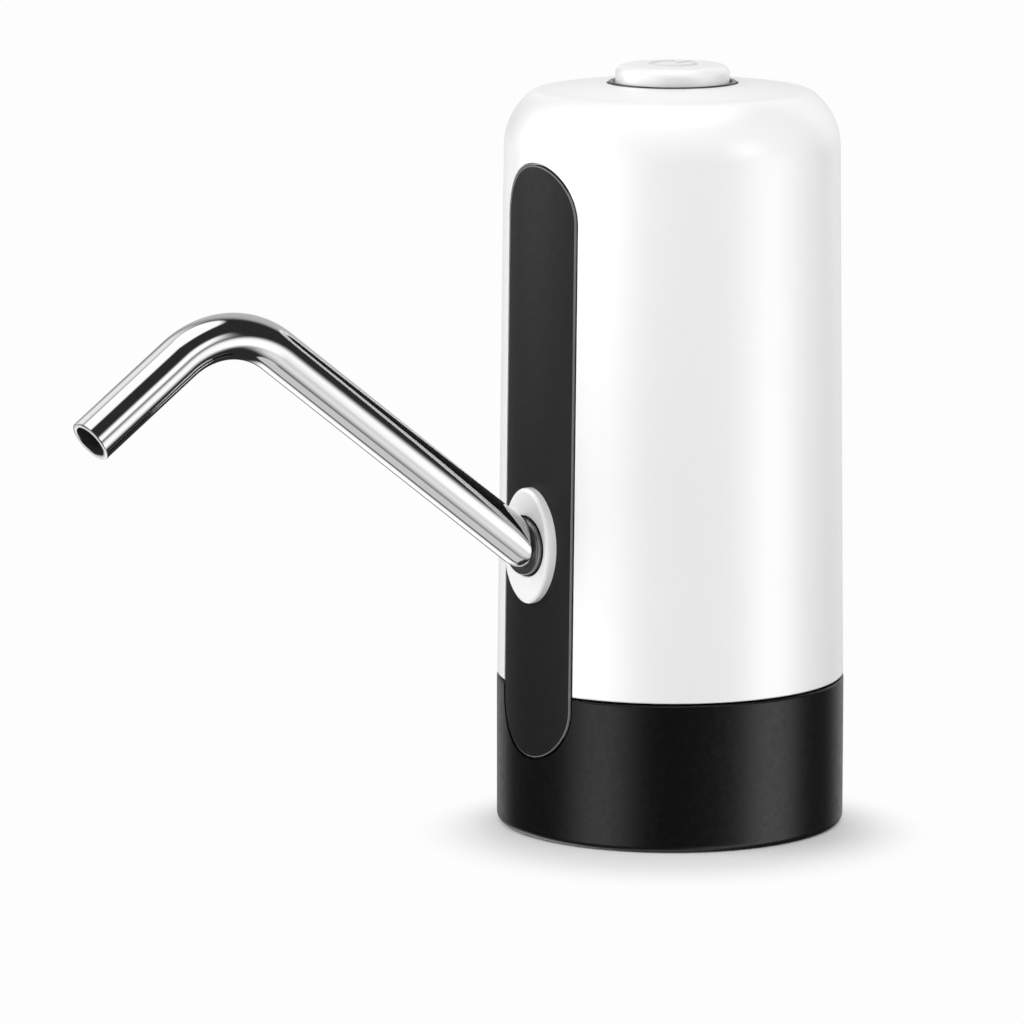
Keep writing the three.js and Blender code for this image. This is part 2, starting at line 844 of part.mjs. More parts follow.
// A spur gear's outline, each tooth with involute flanks from the base circle to the tip
function gearShape(turn) {
  const baseRadius = gearPitchRadius * Math.cos(rad(gearPressureAngle))
  const rootRadius = gearPitchRadius - gearModule * gearDedendum
  const involute = (radius) => {
    const angle = Math.acos(Math.min(1, baseRadius / radius))
    return Math.tan(angle) - angle
  }
  const play = gearBacklash / (2 * gearPitchRadius)
  const halfTooth = Math.PI / (2 * gearTeeth) - play + involute(gearPitchRadius)
  const flank = Array.from({ length: flankSteps }, (_, i) => {
    const radius = baseRadius + ((gearTipRadius - baseRadius) * i) / (flankSteps - 1)
    return [radius, halfTooth - involute(radius)]
  })
  const half = [[rootRadius, halfTooth], ...flank]
  const tooth = [...half.map(([radius, angle]) => [radius, -angle]), ...half.reverse()]
  const points = Array.from({ length: gearTeeth }, (_, i) => turn + (2 * Math.PI * i) / gearTeeth).flatMap(
    (centre) =>
      tooth.map(([radius, angle]) => {
        return new THREE.Vector2(radius * Math.cos(centre + angle), radius * Math.sin(centre + angle))
      }),
  )
  return new THREE.Shape(points)
}

function gear(x, bore, turn) {
  const shape = gearShape(turn)
  shape.holes.push(new THREE.Path(circlePoints(bore, tinySides)))
  const geometry = new THREE.ExtrudeGeometry(shape, { depth: gearWidth - runGap, bevelEnabled: false })
  return geometry.translate(x, motorY, pumpLowZ + runGap)
}

function pumpOutline(shrink) {
  const [wide, deep] = [pumpHalfWidth - shrink, pumpHalfDepth - shrink]
  const outline = new THREE.Shape()
  const corner = pumpCorner
  outline.absarc(wide - corner, deep - corner, corner, 0, Math.PI / 2)
  outline.absarc(corner - wide, deep - corner, corner, Math.PI / 2, Math.PI)
  outline.absarc(corner - wide, corner - deep, corner, Math.PI, 1.5 * Math.PI)
  outline.absarc(wide - corner, corner - deep, corner, 1.5 * Math.PI, 2 * Math.PI)
  return outline
}

function pumpBlock(low, high) {
  const geometry = new THREE.ExtrudeGeometry(pumpOutline(0), {
    depth: high - low,
    bevelEnabled: false,
    curveSegments: cornerSteps,
  })
  return solid(geometry.translate(pumpMidX, motorY, low))
}

function pumpBody() {
  const cavities = [motorX, idlerX].map((x) => disc(cavityRadius, pumpLowZ - overrun, cavityTopZ, x, motorY))
  const pockets = [inletY, outletY].map((y) => disc(portPocket, pumpLowZ - overrun, cavityTopZ, pumpMidX, y))
  return cut(
    pumpBlock(pumpLowZ, pumpTopZ),
    ...cavities,
    ...pockets,
    ...pumpScrewSpots.map(([x, y]) => screwHole(x, y, pumpLowZ - overrun, pumpTopZ + overrun)),
    disc(motorShaftRadius + runGap, cavityTopZ - overrun, pumpTopZ + overrun, motorX, motorY),
    disc(sealOuter() + fitGap, pumpTopZ - sealRingHeight - fitGap, pumpTopZ + overrun, motorX, motorY),
    disc(idlerShaftRadius + runGap, cavityTopZ - overrun, cavityTopZ + idlerSink + runGap, idlerX, motorY),
    ...motorScrewSpots.map(([x, y]) =>
      disc(screwHeadRadius + fitGap, shelfLowZ - screwHead - 2 * fitGap, pumpTopZ + overrun, x, y),
    ),
  )
}

function sealOuter() {
  return motorShaftRadius + runGap + sealRingWall
}

function shaftSeal() {
  return ring(sealOuter() - sealRingWall, sealOuter(), pumpTopZ - sealRingHeight, pumpTopZ, motorX, motorY)
}

function pumpCover() {
  const topZOfCover = coverLowZ + coverThickness
  const barbs = [inletY, outletY].map((y) => disc(barbRadius, barbTipZ, topZOfCover, pumpMidX, y))
  const bores = [inletY, outletY].map((y) => {
    return disc(barbBore, barbTipZ - overrun, topZOfCover + overrun, pumpMidX, y)
  })
  return cut(
    join(pumpBlock(coverLowZ, topZOfCover), ...barbs),
    ...bores,
    ...pumpScrewSpots.map(([x, y]) => screwHole(x, y, coverLowZ - overrun, topZOfCover + overrun)),
    disc(idlerShaftRadius + runGap, topZOfCover - idlerSink - runGap, topZOfCover + overrun, idlerX, motorY),
  )
}

function idlerShaft() {
  const low = coverLowZ + coverThickness - idlerSink
  const high = cavityTopZ + idlerSink
  const profile = [[0, low], [idlerShaftRadius, low], [idlerShaftRadius, high], [0, high]]
  return turned(profile).translate(idlerX, motorY, 0)
}

function motorCan() {
  const profile = [
    [motorShaftRadius + runGap, canLowZ - motorBossLength],
    [motorBossRadius, canLowZ - motorBossLength],
    [motorBossRadius, canLowZ],
    [motorRadius, canLowZ],
    [motorRadius, canTopZ],
    [motorRadius - canWall, canTopZ],
    [motorRadius - canWall, canLowZ + canFloor],
    [motorShaftRadius + runGap, canLowZ + canFloor],
    [motorShaftRadius + runGap, canLowZ - motorBossLength],
  ]
  const holes = motorScrewSpots.map(([x, y]) => {
    return screwHole(x, y, canLowZ - overrun, canLowZ + canFloor + overrun)
  })
  return cut(solid(turned(profile).translate(motorX, motorY, 0)), ...holes)
}

function motorEndCap() {
  const low = canTopZ + fitGap
  const slots = brushPlaces().map(([front, back]) =>
    box(
      [motorX - brushWidth / 2 - fitGap, motorX + brushWidth / 2 + fitGap],
      [front - fitGap, back + fitGap],
      [low - overrun, capTopZ + overrun],
    ),
  )
  return cut(
    disc(motorRadius, low, capTopZ, motorX, motorY),
    ...slots,
    disc(motorShaftRadius + runGap, low - overrun, capTopZ - canFloor, motorX, motorY),
  )
}

function magnet(middle) {
  const arc = 2 * rad(magnetHalfAngle)
  const sweep = new THREE.Shape()
  sweep.absarc(0, 0, magnetRadius, middle - arc / 2, middle + arc / 2)
  sweep.absarc(0, 0, magnetRadius - magnetBand, middle + arc / 2, middle - arc / 2, true)
  const geometry = new THREE.ExtrudeGeometry(sweep, {
    depth: magnetLength,
    bevelEnabled: false,
    curveSegments: smallSides / 2,
  })
  return geometry.translate(motorX, motorY, canLowZ + (motorLength - magnetLength) / 2)
}

function motorShaft() {
  const [low, high] = [pumpLowZ + runGap, capTopZ - canFloor - runGap]
  return turned([[0, low], [motorShaftRadius, low], [motorShaftRadius, high], [0, high]]).translate(
    motorX, motorY, 0,
  )
}

// Iron core with slots for its windings
function armature() {
  const high = armatureLowZ + armatureLength
  const slots = Array.from({ length: poleCount }, (_, i) => {
    const slot = new THREE.BoxGeometry(armatureRadius, poleSlotWidth, armatureLength + 2 * overrun)
    const reach = armatureRadius * (1 - poleSlotDepthShare) + armatureRadius / 2
    slot.translate(reach, 0, (armatureLowZ + high) / 2).rotateZ((2 * Math.PI * i) / poleCount)
    return solid(slot.translate(motorX, motorY, 0))
  })
  const core = ring(motorShaftRadius + fitGap, armatureRadius, armatureLowZ, high, motorX, motorY)
  return cut(solid(core), ...slots)
}

function commutator() {
  const high = canTopZ - commutatorDrop
  return ring(motorShaftRadius + fitGap, commutatorRadius, high - commutatorLength, high, motorX, motorY)
}

// Front and back of each brush, either side of the commutator
function brushPlaces() {
  const near = commutatorRadius + runGap
  const far = near + brushThickness
  return [[motorY - far, motorY - near], [motorY + near, motorY + far]]
}

function brush(place) {
  return box(
    [motorX - brushWidth / 2, motorX + brushWidth / 2],
    place,
    [canTopZ - commutatorDrop - commutatorLength, capTopZ + brushRise],
  )
}

function batteryCell() {
  const profile = [
    [0, cellLowZ],
    [cellRadius, cellLowZ],
    [cellRadius, cellTopZ - cellNub],
    [cellNubRadius, cellTopZ - cellNub],
    [cellNubRadius, cellTopZ],
    [0, cellTopZ],
  ]
  return turned(profile).translate(cellX, cellY, 0)
}

function batteryTab(low) {
  return box([cellX - tabWidth / 2, cellX + tabWidth / 2], [cellY - tabReach, cellY + cellNubRadius], [
    low,
    low + tabThickness,
  ])
}

// One frame: feet on the deck, a wall between cell and motor, a shelf for the motor and pump,
// clips for the cell, a saddle for the outlet port and a platform with posts for the board
function chassis() {
  const plate = [plateLowZ, plateTopZ]
  const legDepth = [motorY - legFront, motorY + legBack]
  const saddleTopZ = spoutZ - bushBodyRadius
  const ribs = [[-saddleFront, plateThickness - saddleFront], [-saddleBack - plateThickness, -saddleBack]]
  const pieces = [
    box([wallLeft, wallRight], [pumpFrontY + pumpCorner, wallBack], [plateLowZ, platformTopZ]),
    box([-saddleHalfWidth, saddleHalfWidth], [-saddleFront, -saddleBack + fitGap], plate),
    ...ribs.map((rib) => box([-saddleHalfWidth, saddleHalfWidth], rib, [plateLowZ, saddleTopZ])),
    box([wallRight - fitGap, linkRight], [-saddleBack - plateThickness, -footFront + fitGap], plate),
    box([wallLeft, footRight], [-footFront, footBack], plate),
    box([-legReach, -leftFootInner], legDepth, plate),
    box([-legReach, plateThickness - legReach], legDepth, [plateLowZ, shelfTopZ]),
    box([-legReach, wallRight], [pumpFrontY, motorY + pumpHalfDepth], [shelfLowZ, shelfTopZ]),
    box(
      [-platformHalfWidth, platformHalfWidth],
      [-platformHalfDepth, platformHalfDepth],
      [platformTopZ - plateThickness, platformTopZ],
    ),
    ...[-1, 1].map((side) => {
      return disc(postRadius, platformTopZ - fitGap, boardLowZ - fitGap, side * boardScrewX, 0)
    }),
    ...[clipLowShare, clipHighShare].map((share) => cellClip(cellLowZ + cellLength * share)),
  ]
  const holes = [
    disc(motorBossRadius + fitGap, shelfLowZ - overrun, shelfTopZ + overrun, motorX, motorY),
    ...pumpScrewSpots.map(([x, y]) => screwHole(x, y, shelfLowZ - overrun, shelfTopZ + overrun)),
    ...motorScrewSpots.map(([x, y]) => screwHole(x, y, shelfLowZ - overrun, shelfTopZ + overrun)),
    ...chassisScrewSpots.map(([x, y]) => screwHole(x, y, plateLowZ - overrun, plateTopZ + overrun)),
    ...[-1, 1].map((side) =>
      screwHole(side * boardScrewX, 0, platformTopZ - fitGap, boardLowZ + overrun),
    ),
    ...housingSpots.map(([x, y]) => {
      return disc(bossRadius + 2 * fitGap, plateLowZ - overrun, plateTopZ + overrun, x, y)
    }),
    rodAlongSpout(portBore + portWall + fitGap, saddleBack - overrun, bodyRadius),
    disc(cellRadius + fitGap, plateTopZ, cellTopZ, cellX, cellY),
  ]
  return cut(join(...pieces).intersect(disc(chassisReach, rimZ, topZ)), ...holes)
}

// A snap ring round part of the cell, open away from the wall
function cellClip(middle) {
  const [low, high] = [middle - clipHeight / 2, middle + clipHeight / 2]
  const outer = cellRadius + fitGap + clipWall
  const mouth = cellX + cellRadius * clipMouthShare
  return cut(
    solid(ring(cellRadius + fitGap, outer, low, high, cellX, cellY)),
    box([mouth, mouth + 2 * outer], [cellY - 2 * outer, cellY + 2 * outer], [low - overrun, high + overrun]),
  )
}

function circuitBoard() {
  return cut(
    disc(boardRadius, boardLowZ, boardTopZ),
    ...[-1, 1].map((side) => screwHole(side * boardScrewX, 0, boardLowZ - overrun, boardTopZ + overrun)),
  )
}

function switchBody() {
  const half = switchSide / 2
  return cut(
    box([-half, half], [-half, half], [boardPartZ, boardPartZ + switchHeight]),
    disc(plungerRadius + runGap, plungerLowZ - buttonTravel - runGap, boardPartZ + switchHeight + overrun),
  )
}

function switchPlunger() {
  const high = plungerLowZ + plungerLength
  return turned([[0, plungerLowZ], [plungerRadius, plungerLowZ], [plungerRadius, high], [0, high]])
}

// How far back the socket's mouth comes, just inside the shell's wall
function socketMouthY() {
  return shellRadius(boardPartZ) - shellWall - socketMouthGap - socketWidth ** 2 / (8 * shellTopRadius)
}

function chargeSocket() {
  const [half, mouth] = [socketWidth / 2, socketMouthY()]
  const [low, high] = [boardPartZ, boardPartZ + socketHeight]
  const middle = (low + high) / 2
  const inner = [socketWall - half, half - socketWall]
  const outside = box([-half, half], [mouth - socketDepth, mouth], [low, high])
  const back = mouth - socketDepth + socketWall
  const cavity = box(inner, [back, mouth + overrun], [low + socketWall, high - socketWall])
  const tongue = box(
    [inner[0] * tongueShare, inner[1] * tongueShare],
    [mouth - socketDepth, mouth - socketDepth * (1 - tongueShare)],
    [middle - tongueThickness / 2, middle + tongueThickness / 2],
  )
  return join(cut(outside, cavity), tongue)
}

// The way through the shell for a charging plug
function socketCut() {
  const half = socketWidth / 2 + fitGap
  return box(
    [-half, half],
    [socketMouthY() - shellWall, bodyRadius + overrun],
    [boardPartZ - fitGap, boardPartZ + socketHeight + fitGap],
  )
}

function lampBody(radius, extra) {
  const surface = Math.sqrt(shellRadius(boardPartZ) ** 2 - lampX ** 2)
  const profile = [[0, -extra], [radius, -extra], [radius, lampLength + extra], [0, lampLength + extra]]
  const geometry = turned(profile).rotateX(-Math.PI / 2)
  return solid(geometry.translate(lampX, surface - lampLength, boardPartZ + lampRadius))
}

function controlChip() {
  return box([chipX - chipSide / 2, chipX + chipSide / 2], [chipY - chipSide / 2, chipY + chipSide / 2], [
    boardPartZ,
    boardPartZ + chipHeight,
  ])
}

function buttonCap() {
  const rounding = Array.from({ length: buttonSteps + 1 }, (_, i) => {
    const angle = ((Math.PI / 2) * i) / buttonSteps
    return [
      buttonRadius - buttonRounding + buttonRounding * Math.cos(angle),
      buttonTopZ - buttonRounding + buttonRounding * Math.sin(angle),
    ]
  })
  const hubLowZ = buttonTopZ - buttonTop - buttonHubDrop
  const profile = [
    [0, stemEndZ],
    [buttonStemRadius, stemEndZ],
    [buttonStemRadius, hubLowZ],
    [buttonHubRadius, hubLowZ],
    [buttonHubRadius, buttonTopZ - buttonTop],
    [buttonRadius - buttonSkirtWall, buttonTopZ - buttonTop],
    [buttonRadius - buttonSkirtWall, buttonFlangeZ - buttonFlange],
    [buttonRadius + buttonFlangeReach, buttonFlangeZ - buttonFlange],
    [buttonRadius + buttonFlangeReach, buttonFlangeZ],
    [buttonRadius, buttonFlangeZ],
    ...rounding,
    [0, buttonTopZ],
  ]
  return turned(profile)
}

function buttonBezel() {
  return turned([
    [bezelRadius, bezelLowZ],
    [bezelFlangeRadius, bezelLowZ],
    [bezelFlangeRadius, bezelLowZ + bezelFlange],
    [bezelOuter, bezelLowZ + bezelFlange],
    [bezelOuter, crownZ],
    [bezelRadius, crownZ],
    [bezelRadius, bezelLowZ],
  ])
}

// A coil from the board up to the button's hub
function buttonSpring() {
  const steps = springTurns * springTurnSteps
  const rise = springTopZ - springLowZ
  const slope = rise / (springTurns * 2 * Math.PI)
  const stations = Array.from({ length: steps + 1 }, (_, i) => {
    const angle = (2 * Math.PI * i) / springTurnSteps
    const [cos, sin] = [Math.cos(angle), Math.sin(angle)]
    return {
      point: new THREE.Vector3(springRadius * cos, springRadius * sin, springLowZ + (rise * i) / steps),
      way: new THREE.Vector3(-springRadius * sin, springRadius * cos, slope).normalize(),
    }
  })
  return tube(new StationPath(stations), springWire, 0, springSides, steps)
}

// A lead through points chosen by hand, held at both ends
function lead(points) {
  const path = new THREE.CatmullRomCurve3(points.map(([x, y, z]) => new THREE.Vector3(x, y, z)))
  return tube(path, leadRadius, 0, leadSides, leadSteps)
}

// From each brush, out past the platform and up to the board's underside
function motorLeads() {
  const [low, high] = [capTopZ + brushRise + fitGap, boardLowZ - fitGap]
  return brushPlaces().map(([front, back]) => {
    const from = (front + back) / 2
    const to = Math.sign(from - motorY) * leadOutY
    return [
      [motorX, from, low],
      [motorX, (from + to) / 2, low + (high - low) * leadLowShare],
      [motorX, to, low + (high - low) * leadHighShare],
      [motorX, to, high],
    ]
  })
}

// From the cell's bottom and top tabs, up in front of the cell to the board
function batteryLeads() {
  const tabEnd = cellY - tabReach + leadRadius
  const besideTab = cellX - tabWidth / 2 - leadRadius - fitGap
  const high = boardLowZ - fitGap
  const topTab = cellTopZ + tabThickness + 2 * fitGap
  const bottomTab = plateTopZ + tabThickness + 2 * fitGap
  return [
    [
      [cellX - tabWidth / 2 + leadRadius, tabEnd, bottomTab],
      [besideTab, tabEnd - leadRadius, bottomTab + tabReach],
      [besideTab, tabEnd - leadRadius, cellTopZ - tabReach],
      [besideTab, -leadOutY, platformTopZ - plateThickness],
      [besideTab, -leadOutY, high],
    ],
    [
      [cellX, tabEnd, topTab],
      [cellX, tabEnd - leadRadius, topTab + tabWidth],
      [cellX, -leadOutY, platformTopZ - plateThickness],
      [cellX, -leadOutY, high],
    ],
  ]
}

const plastic = { white: 0xf3f3f2, black: 0x1d1e20, charcoal: 0x2a2b2d, grey: 0x5c5f63, cream: 0xd9d6cc }
const finish = (color, roughness, metalness = 0) => ({ color, roughness, metalness })
const looks = {
  shell: finish(plastic.white, 0.3),
  base: finish(plastic.black, 0.55),
  strip: finish(plastic.charcoal, 0.6),
  silicone: finish(0x3b3c3e, 0.8),
  hose: finish(0xdfe3e4, 0.7),
  frame: finish(plastic.cream, 0.6),
  pump: finish(plastic.grey, 0.5),
  steel: finish(0xd8dadb, 0.12, 1),
  zinc: finish(0xb4b6b8, 0.35, 1),
  bezel: finish(0x6f7174, 0.3, 1),
  brass: finish(0xc8a24a, 0.3, 1),
  copper: finish(0xb87333, 0.35, 1),
  iron: finish(0x55575a, 0.5, 1),
  gear: finish(0xefe9dc, 0.5),
  wrap: finish(0x2f6fae, 0.4),
  board: finish(0x1f6b3a, 0.5),
  chip: finish(0x18191b, 0.5),
  lamp: finish(0xe8f2ff, 0.2),
  red: finish(0xb3261e, 0.5),
  dark: finish(0x202124, 0.5),
}

const pump = new THREE.Group()

function add(name, shape, look) {
  const geometry = shape instanceof wasm.Manifold ? geometryOf(shape) : closed(shape)
  const mesh = new THREE.Mesh(geometry, new THREE.MeshStandardMaterial(looks[look]))
  mesh.name = name
  pump.add(mesh)
}

// Outside, from the bottom up
add('base_skirt', baseSkirt(), 'base')
add('neck_boot', neckBoot(), 'silicone')
add('upper_shell', upperShell(), 'shell')
add('front_strip', frontStrip(), 'strip')
add('spout_flange', spoutFlange(), 'shell')
add('button_bezel', buttonBezel(), 'bezel')
add('charge_socket', chargeSocket(), 'zinc')
add('charge_lamp', lampBody(lampRadius, 0), 'lamp')
housingSpots.forEach(([x, y], i) => {
  const seat = deckLowZ + screwHead + fitGap
  const length = deckTopZ + collarHeight + housingBite - seat
  add(`housing_screw_${i + 1}`, screw(x, y, seat, length, true), 'zinc')
})

// Water way
add('inlet_nipple', inletNipple(), 'pump')
add('nipple_seal', nippleSeal(), 'silicone')
add('inlet_hose', inletHose(), 'hose')
add('pump_cover', pumpCover(), 'pump')
add('pump_body', pumpBody(), 'pump')
pumpScrewSpots.forEach(([x, y], i) => {
  add(`pump_screw_${i + 1}`, screw(x, y, coverLowZ, shelfTopZ - coverLowZ, true), 'zinc')
})
add('drive_gear', gear(motorX, motorShaftRadius + fitGap, 0), 'gear')
add('driven_gear', gear(idlerX, idlerShaftRadius + fitGap, Math.PI / gearTeeth), 'gear')
add('idler_shaft', idlerShaft(), 'steel')
add('shaft_seal', shaftSeal(), 'silicone')
add('outlet_hose', outletHose(), 'hose')
add('outlet_port', outletPort(), 'pump')
add('bush_seal', bushSeal(), 'silicone')
add('swivel_bush', swivelBush(), 'dark')
add('spout_seal', spoutSeal(), 'silicone')
add('spout_tube', spoutTube(), 'steel')

// Motor
add('motor_can', motorCan(), 'zinc')
add('motor_end_cap', motorEndCap(), 'dark')
add('magnet_left', magnet(Math.PI), 'iron')
add('magnet_right', magnet(0), 'iron')
add('motor_shaft', motorShaft(), 'steel')
add('armature', armature(), 'copper')
add('commutator', commutator(), 'brass')
brushPlaces().forEach((place, i) => add(['brush_front', 'brush_back'][i], brush(place), 'brass'))
motorScrewSpots.forEach(([x, y], i) => {
  add(`motor_screw_${i + 1}`, screw(x, y, shelfLowZ, plateThickness + fitGap + canFloor, true), 'zinc')
})

// Power, board and frame
add('chassis', chassis(), 'frame')
chassisScrewSpots.forEach(([x, y], i) => {
  add(`chassis_screw_${i + 1}`, screw(x, y, plateTopZ, plateThickness + fitGap + screwBite), 'zinc')
})
add('battery_cell', batteryCell(), 'wrap')
add('battery_tab_bottom', batteryTab(plateTopZ + fitGap), 'zinc')
add('battery_tab_top', batteryTab(cellTopZ + fitGap), 'zinc')
add('circuit_board', circuitBoard(), 'board')
for (const [i, side] of [-1, 1].entries()) {
  add(`board_screw_${i + 1}`, screw(side * boardScrewX, 0, boardTopZ, boardThickness + postHeight), 'zinc')
}
add('switch_body', switchBody(), 'chip')
add('control_chip', controlChip(), 'chip')
motorLeads().forEach((points, i) => {
  add(['motor_lead_black', 'motor_lead_red'][i], lead(points), ['dark', 'red'][i])
})
batteryLeads().forEach((points, i) => {
  add(['battery_lead_black', 'battery_lead_red'][i], lead(points), ['dark', 'red'][i])
})

// What moves with the button
add('button_cap', buttonCap(), 'shell')
add('button_spring', buttonSpring(), 'zinc')
add('switch_plunger', switchPlunger(), 'chip')

export default pump
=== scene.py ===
import json
import math

import bmesh
import bpy
from mathutils import Matrix, Vector


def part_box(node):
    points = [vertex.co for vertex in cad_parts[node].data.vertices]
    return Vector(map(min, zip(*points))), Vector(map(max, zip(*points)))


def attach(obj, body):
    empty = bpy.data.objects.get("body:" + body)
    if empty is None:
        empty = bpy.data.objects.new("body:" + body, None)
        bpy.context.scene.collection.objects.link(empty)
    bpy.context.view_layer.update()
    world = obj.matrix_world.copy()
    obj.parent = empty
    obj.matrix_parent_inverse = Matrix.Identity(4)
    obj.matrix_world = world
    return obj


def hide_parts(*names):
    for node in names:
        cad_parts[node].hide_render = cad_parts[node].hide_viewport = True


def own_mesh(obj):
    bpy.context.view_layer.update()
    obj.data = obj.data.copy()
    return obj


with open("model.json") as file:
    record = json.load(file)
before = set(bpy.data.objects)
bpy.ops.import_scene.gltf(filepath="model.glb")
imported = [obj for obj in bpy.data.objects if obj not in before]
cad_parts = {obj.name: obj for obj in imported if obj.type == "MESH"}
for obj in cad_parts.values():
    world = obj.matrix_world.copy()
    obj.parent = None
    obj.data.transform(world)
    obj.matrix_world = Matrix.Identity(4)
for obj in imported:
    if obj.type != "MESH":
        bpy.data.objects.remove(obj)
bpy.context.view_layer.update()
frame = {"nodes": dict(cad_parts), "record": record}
nodes = frame["nodes"]
slotOf = {row["node"]: row["material_slot"] for row in frame["record"]["subparts"]}
mm = 0.001
print("frame loaded:", len(nodes), "nodes")


def cad(node):
    low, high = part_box(node)  # in millimetres
    return low / mm, high / mm


# Levels that several pieces share, read from the frame, in millimetres
bodyRadius = cad("base_skirt")[1].x
rimZ = cad("base_skirt")[0].z
collarTopZ = cad("base_skirt")[1].z
shellFootZ, topZ = cad("upper_shell")[0].z, cad("upper_shell")[1].z
shellRadius = cad("upper_shell")[1].x
bushLow, bushHigh = cad("swivel_bush")
spoutZ = (bushLow.z + bushHigh.z) / 2
buttonTopZ = cad("button_cap")[1].z
bezelTopZ = cad("button_bezel")[1].z
seamZ = shellFootZ - 0.4  # the parting gap between shell and base


# Mesh helpers: sizes come in millimetres and leave in metres

def arcPoints(centre, radius, fromAngle, toAngle, steps):
    # corners of an arc in a profile, as (radius, level, rounding)
    angles = [math.radians(fromAngle + (toAngle - fromAngle) * i / steps) for i in range(steps + 1)]
    return [(centre[0] + radius * math.cos(a), centre[1] + radius * math.sin(a), 0) for a in angles]


def domePoints(fromRadius, fromLevel, toRadius, toLevel, steps):
    # a crown that starts at its steepest and comes in level
    shares = [k / steps for k in range(1, steps)]
    run, rise = toRadius - fromRadius, toLevel - fromLevel
    return [(fromRadius + run * t, fromLevel + rise * t * (1.5 - 0.5 * t), 0) for t in shares]


def rounded(corners, steps=5):
    # a profile's corners, each (x, y, rounding), as points with the corners rounded
    points = []
    for i, (x, y, radius) in enumerate(corners):
        here = Vector((x, y))
        if radius == 0:
            points.append(here)
            continue
        back = (Vector(corners[i - 1][:2]) - here).normalized()
        on = (Vector(corners[(i + 1) % len(corners)][:2]) - here).normalized()
        half = back.angle(on) / 2
        centre = here + (back + on).normalized() * radius / math.sin(half)
        start = (here + back * radius / math.tan(half) - centre).normalized()
        end = (here + on * radius / math.tan(half) - centre).normalized()
        points += [centre + start.slerp(end, k / steps) * radius for k in range(steps + 1)]
    return points


def meshPiece(name, bm, smoothAngle=38):
    # the bmesh as an object at the origin, faces out, smooth but for its sharp edges
    bmesh.ops.remove_doubles(bm, verts=bm.verts, dist=1e-6)
    bmesh.ops.dissolve_degenerate(bm, edges=bm.edges, dist=1e-7)
    bmesh.ops.recalc_face_normals(bm, faces=bm.faces)
    mesh = bpy.data.meshes.new(name)
    bm.to_mesh(mesh)
    bm.free()
    piece = bpy.data.objects.new(name, mesh)
    bpy.context.scene.collection.objects.link(piece)
    mesh.shade_smooth()
    mesh.set_sharp_from_angle(angle=math.radians(smoothAngle))
    return piece


def loft(bm, rings, closed=True):
    # quads from ring to ring, with a UV map in millimetres: round the ring, and along the rings
    uv = bm.loops.layers.uv.verify()
    rows = [[bm.verts.new(Vector(p) * mm) for p in ring] for ring in rings]
    count = len(rows[0])
    girth = max(sum((Vector(r[k]) - Vector(r[k - 1])).length for k in range(count)) for r in rings)
    along = [0.0]
    for before, after in zip(rings, rings[1:] + rings[:1]):
        along.append(along[-1] + (Vector(after[0]) - Vector(before[0])).length)
    for i in range(len(rows) if closed else len(rows) - 1):
        first, second = rows[i], rows[(i + 1) % len(rows)]
        for k in range(count):
            j = (k + 1) % count
            face = bm.faces.new([first[k], first[j], second[j], second[k]])
            spots = [(k, i), (k + 1, i), (k + 1, i + 1), (k, i + 1)]
            for corner, (around, row) in zip(face.loops, spots):
                corner[uv].uv = (girth * around / count, along[row])
    return rows


def circle(radius, sides):
    angles = [2 * math.pi * k / sides for k in range(sides)]
    return [(radius * math.cos(a), radius * math.sin(a)) for a in angles]


def turned(name, corners, sides=192, place=(0, 0, 0), alongSpout=False, steps=5):
    # a closed profile of (radius, level, rounding) turned about Z, or about the spout's axis
    bm = bmesh.new()
    rings = []
    for point in rounded(corners, steps):
        radius, level = max(point.x, 0), point.y
        flat = circle(radius, sides)
        if alongSpout:
            rings.append([(x + place[0], place[1] - level, z + place[2]) for x, z in flat])
        else:
            rings.append([(x + place[0], y + place[1], level + place[2]) for x, y in flat])
    onAxis = corners[0][0] == 0 and corners[-1][0] == 0
    loft(bm, rings, closed=not onAxis)
    return meshPiece(name, bm)


def evaluated(piece):
    # the piece with its modifiers applied
    graph = bpy.context.evaluated_depsgraph_get()
    mesh = bpy.data.meshes.new_from_object(piece.evaluated_get(graph))
    old = piece.data
    piece.modifiers.clear()
    piece.data = mesh
    bpy.data.meshes.remove(old)
    piece.data.name = piece.name
    return piece


def carve(piece, *cutters, operation="DIFFERENCE"):
    for cutter in cutters:
        step = piece.modifiers.new("carve", "BOOLEAN")
        step.operation = operation
        step.solver = "EXACT"
        step.object = cutter
    evaluated(piece)
    for cutter in cutters:
        bpy.data.objects.remove(cutter)
    return piece


def tidied(piece, bevel=0, limit=38):
    # small rounds along the sharp edges, and shading that keeps the flats flat
    bm = bmesh.new()
    bm.from_mesh(piece.data)
    bmesh.ops.remove_doubles(bm, verts=bm.verts, dist=0.01 * mm)
    bmesh.ops.dissolve_degenerate(bm, edges=bm.edges, dist=0.005 * mm)
    bmesh.ops.recalc_face_normals(bm, faces=bm.faces)
    bm.to_mesh(piece.data)
    bm.free()
    piece.data.shade_smooth()
    piece.data.set_sharp_from_angle(angle=math.radians(limit))
    if bevel:
        step = piece.modifiers.new("edge", "BEVEL")
        step.width = bevel * mm
        step.segments = 3
        step.limit_method = "ANGLE"
        step.angle_limit = math.radians(limit)
        step.use_clamp_overlap = True
        step.harden_normals = False
    weigh = piece.modifiers.new("weigh", "WEIGHTED_NORMAL")
    weigh.keep_sharp = True
    return evaluated(piece)


def rodProfile(radius, low, high):
    return [(0, low, 0), (radius, low, 0), (radius, high, 0), (0, high, 0)]


def rod(radius, low, high, place):
    return turned("rod", rodProfile(radius, low, high), 64, (place[0], place[1], 0))


def rodAlongSpout(radius, near, far):
    return turned("rod", rodProfile(radius, near, far), 96, (0, 0, spoutZ), alongSpout=True)


# Materials

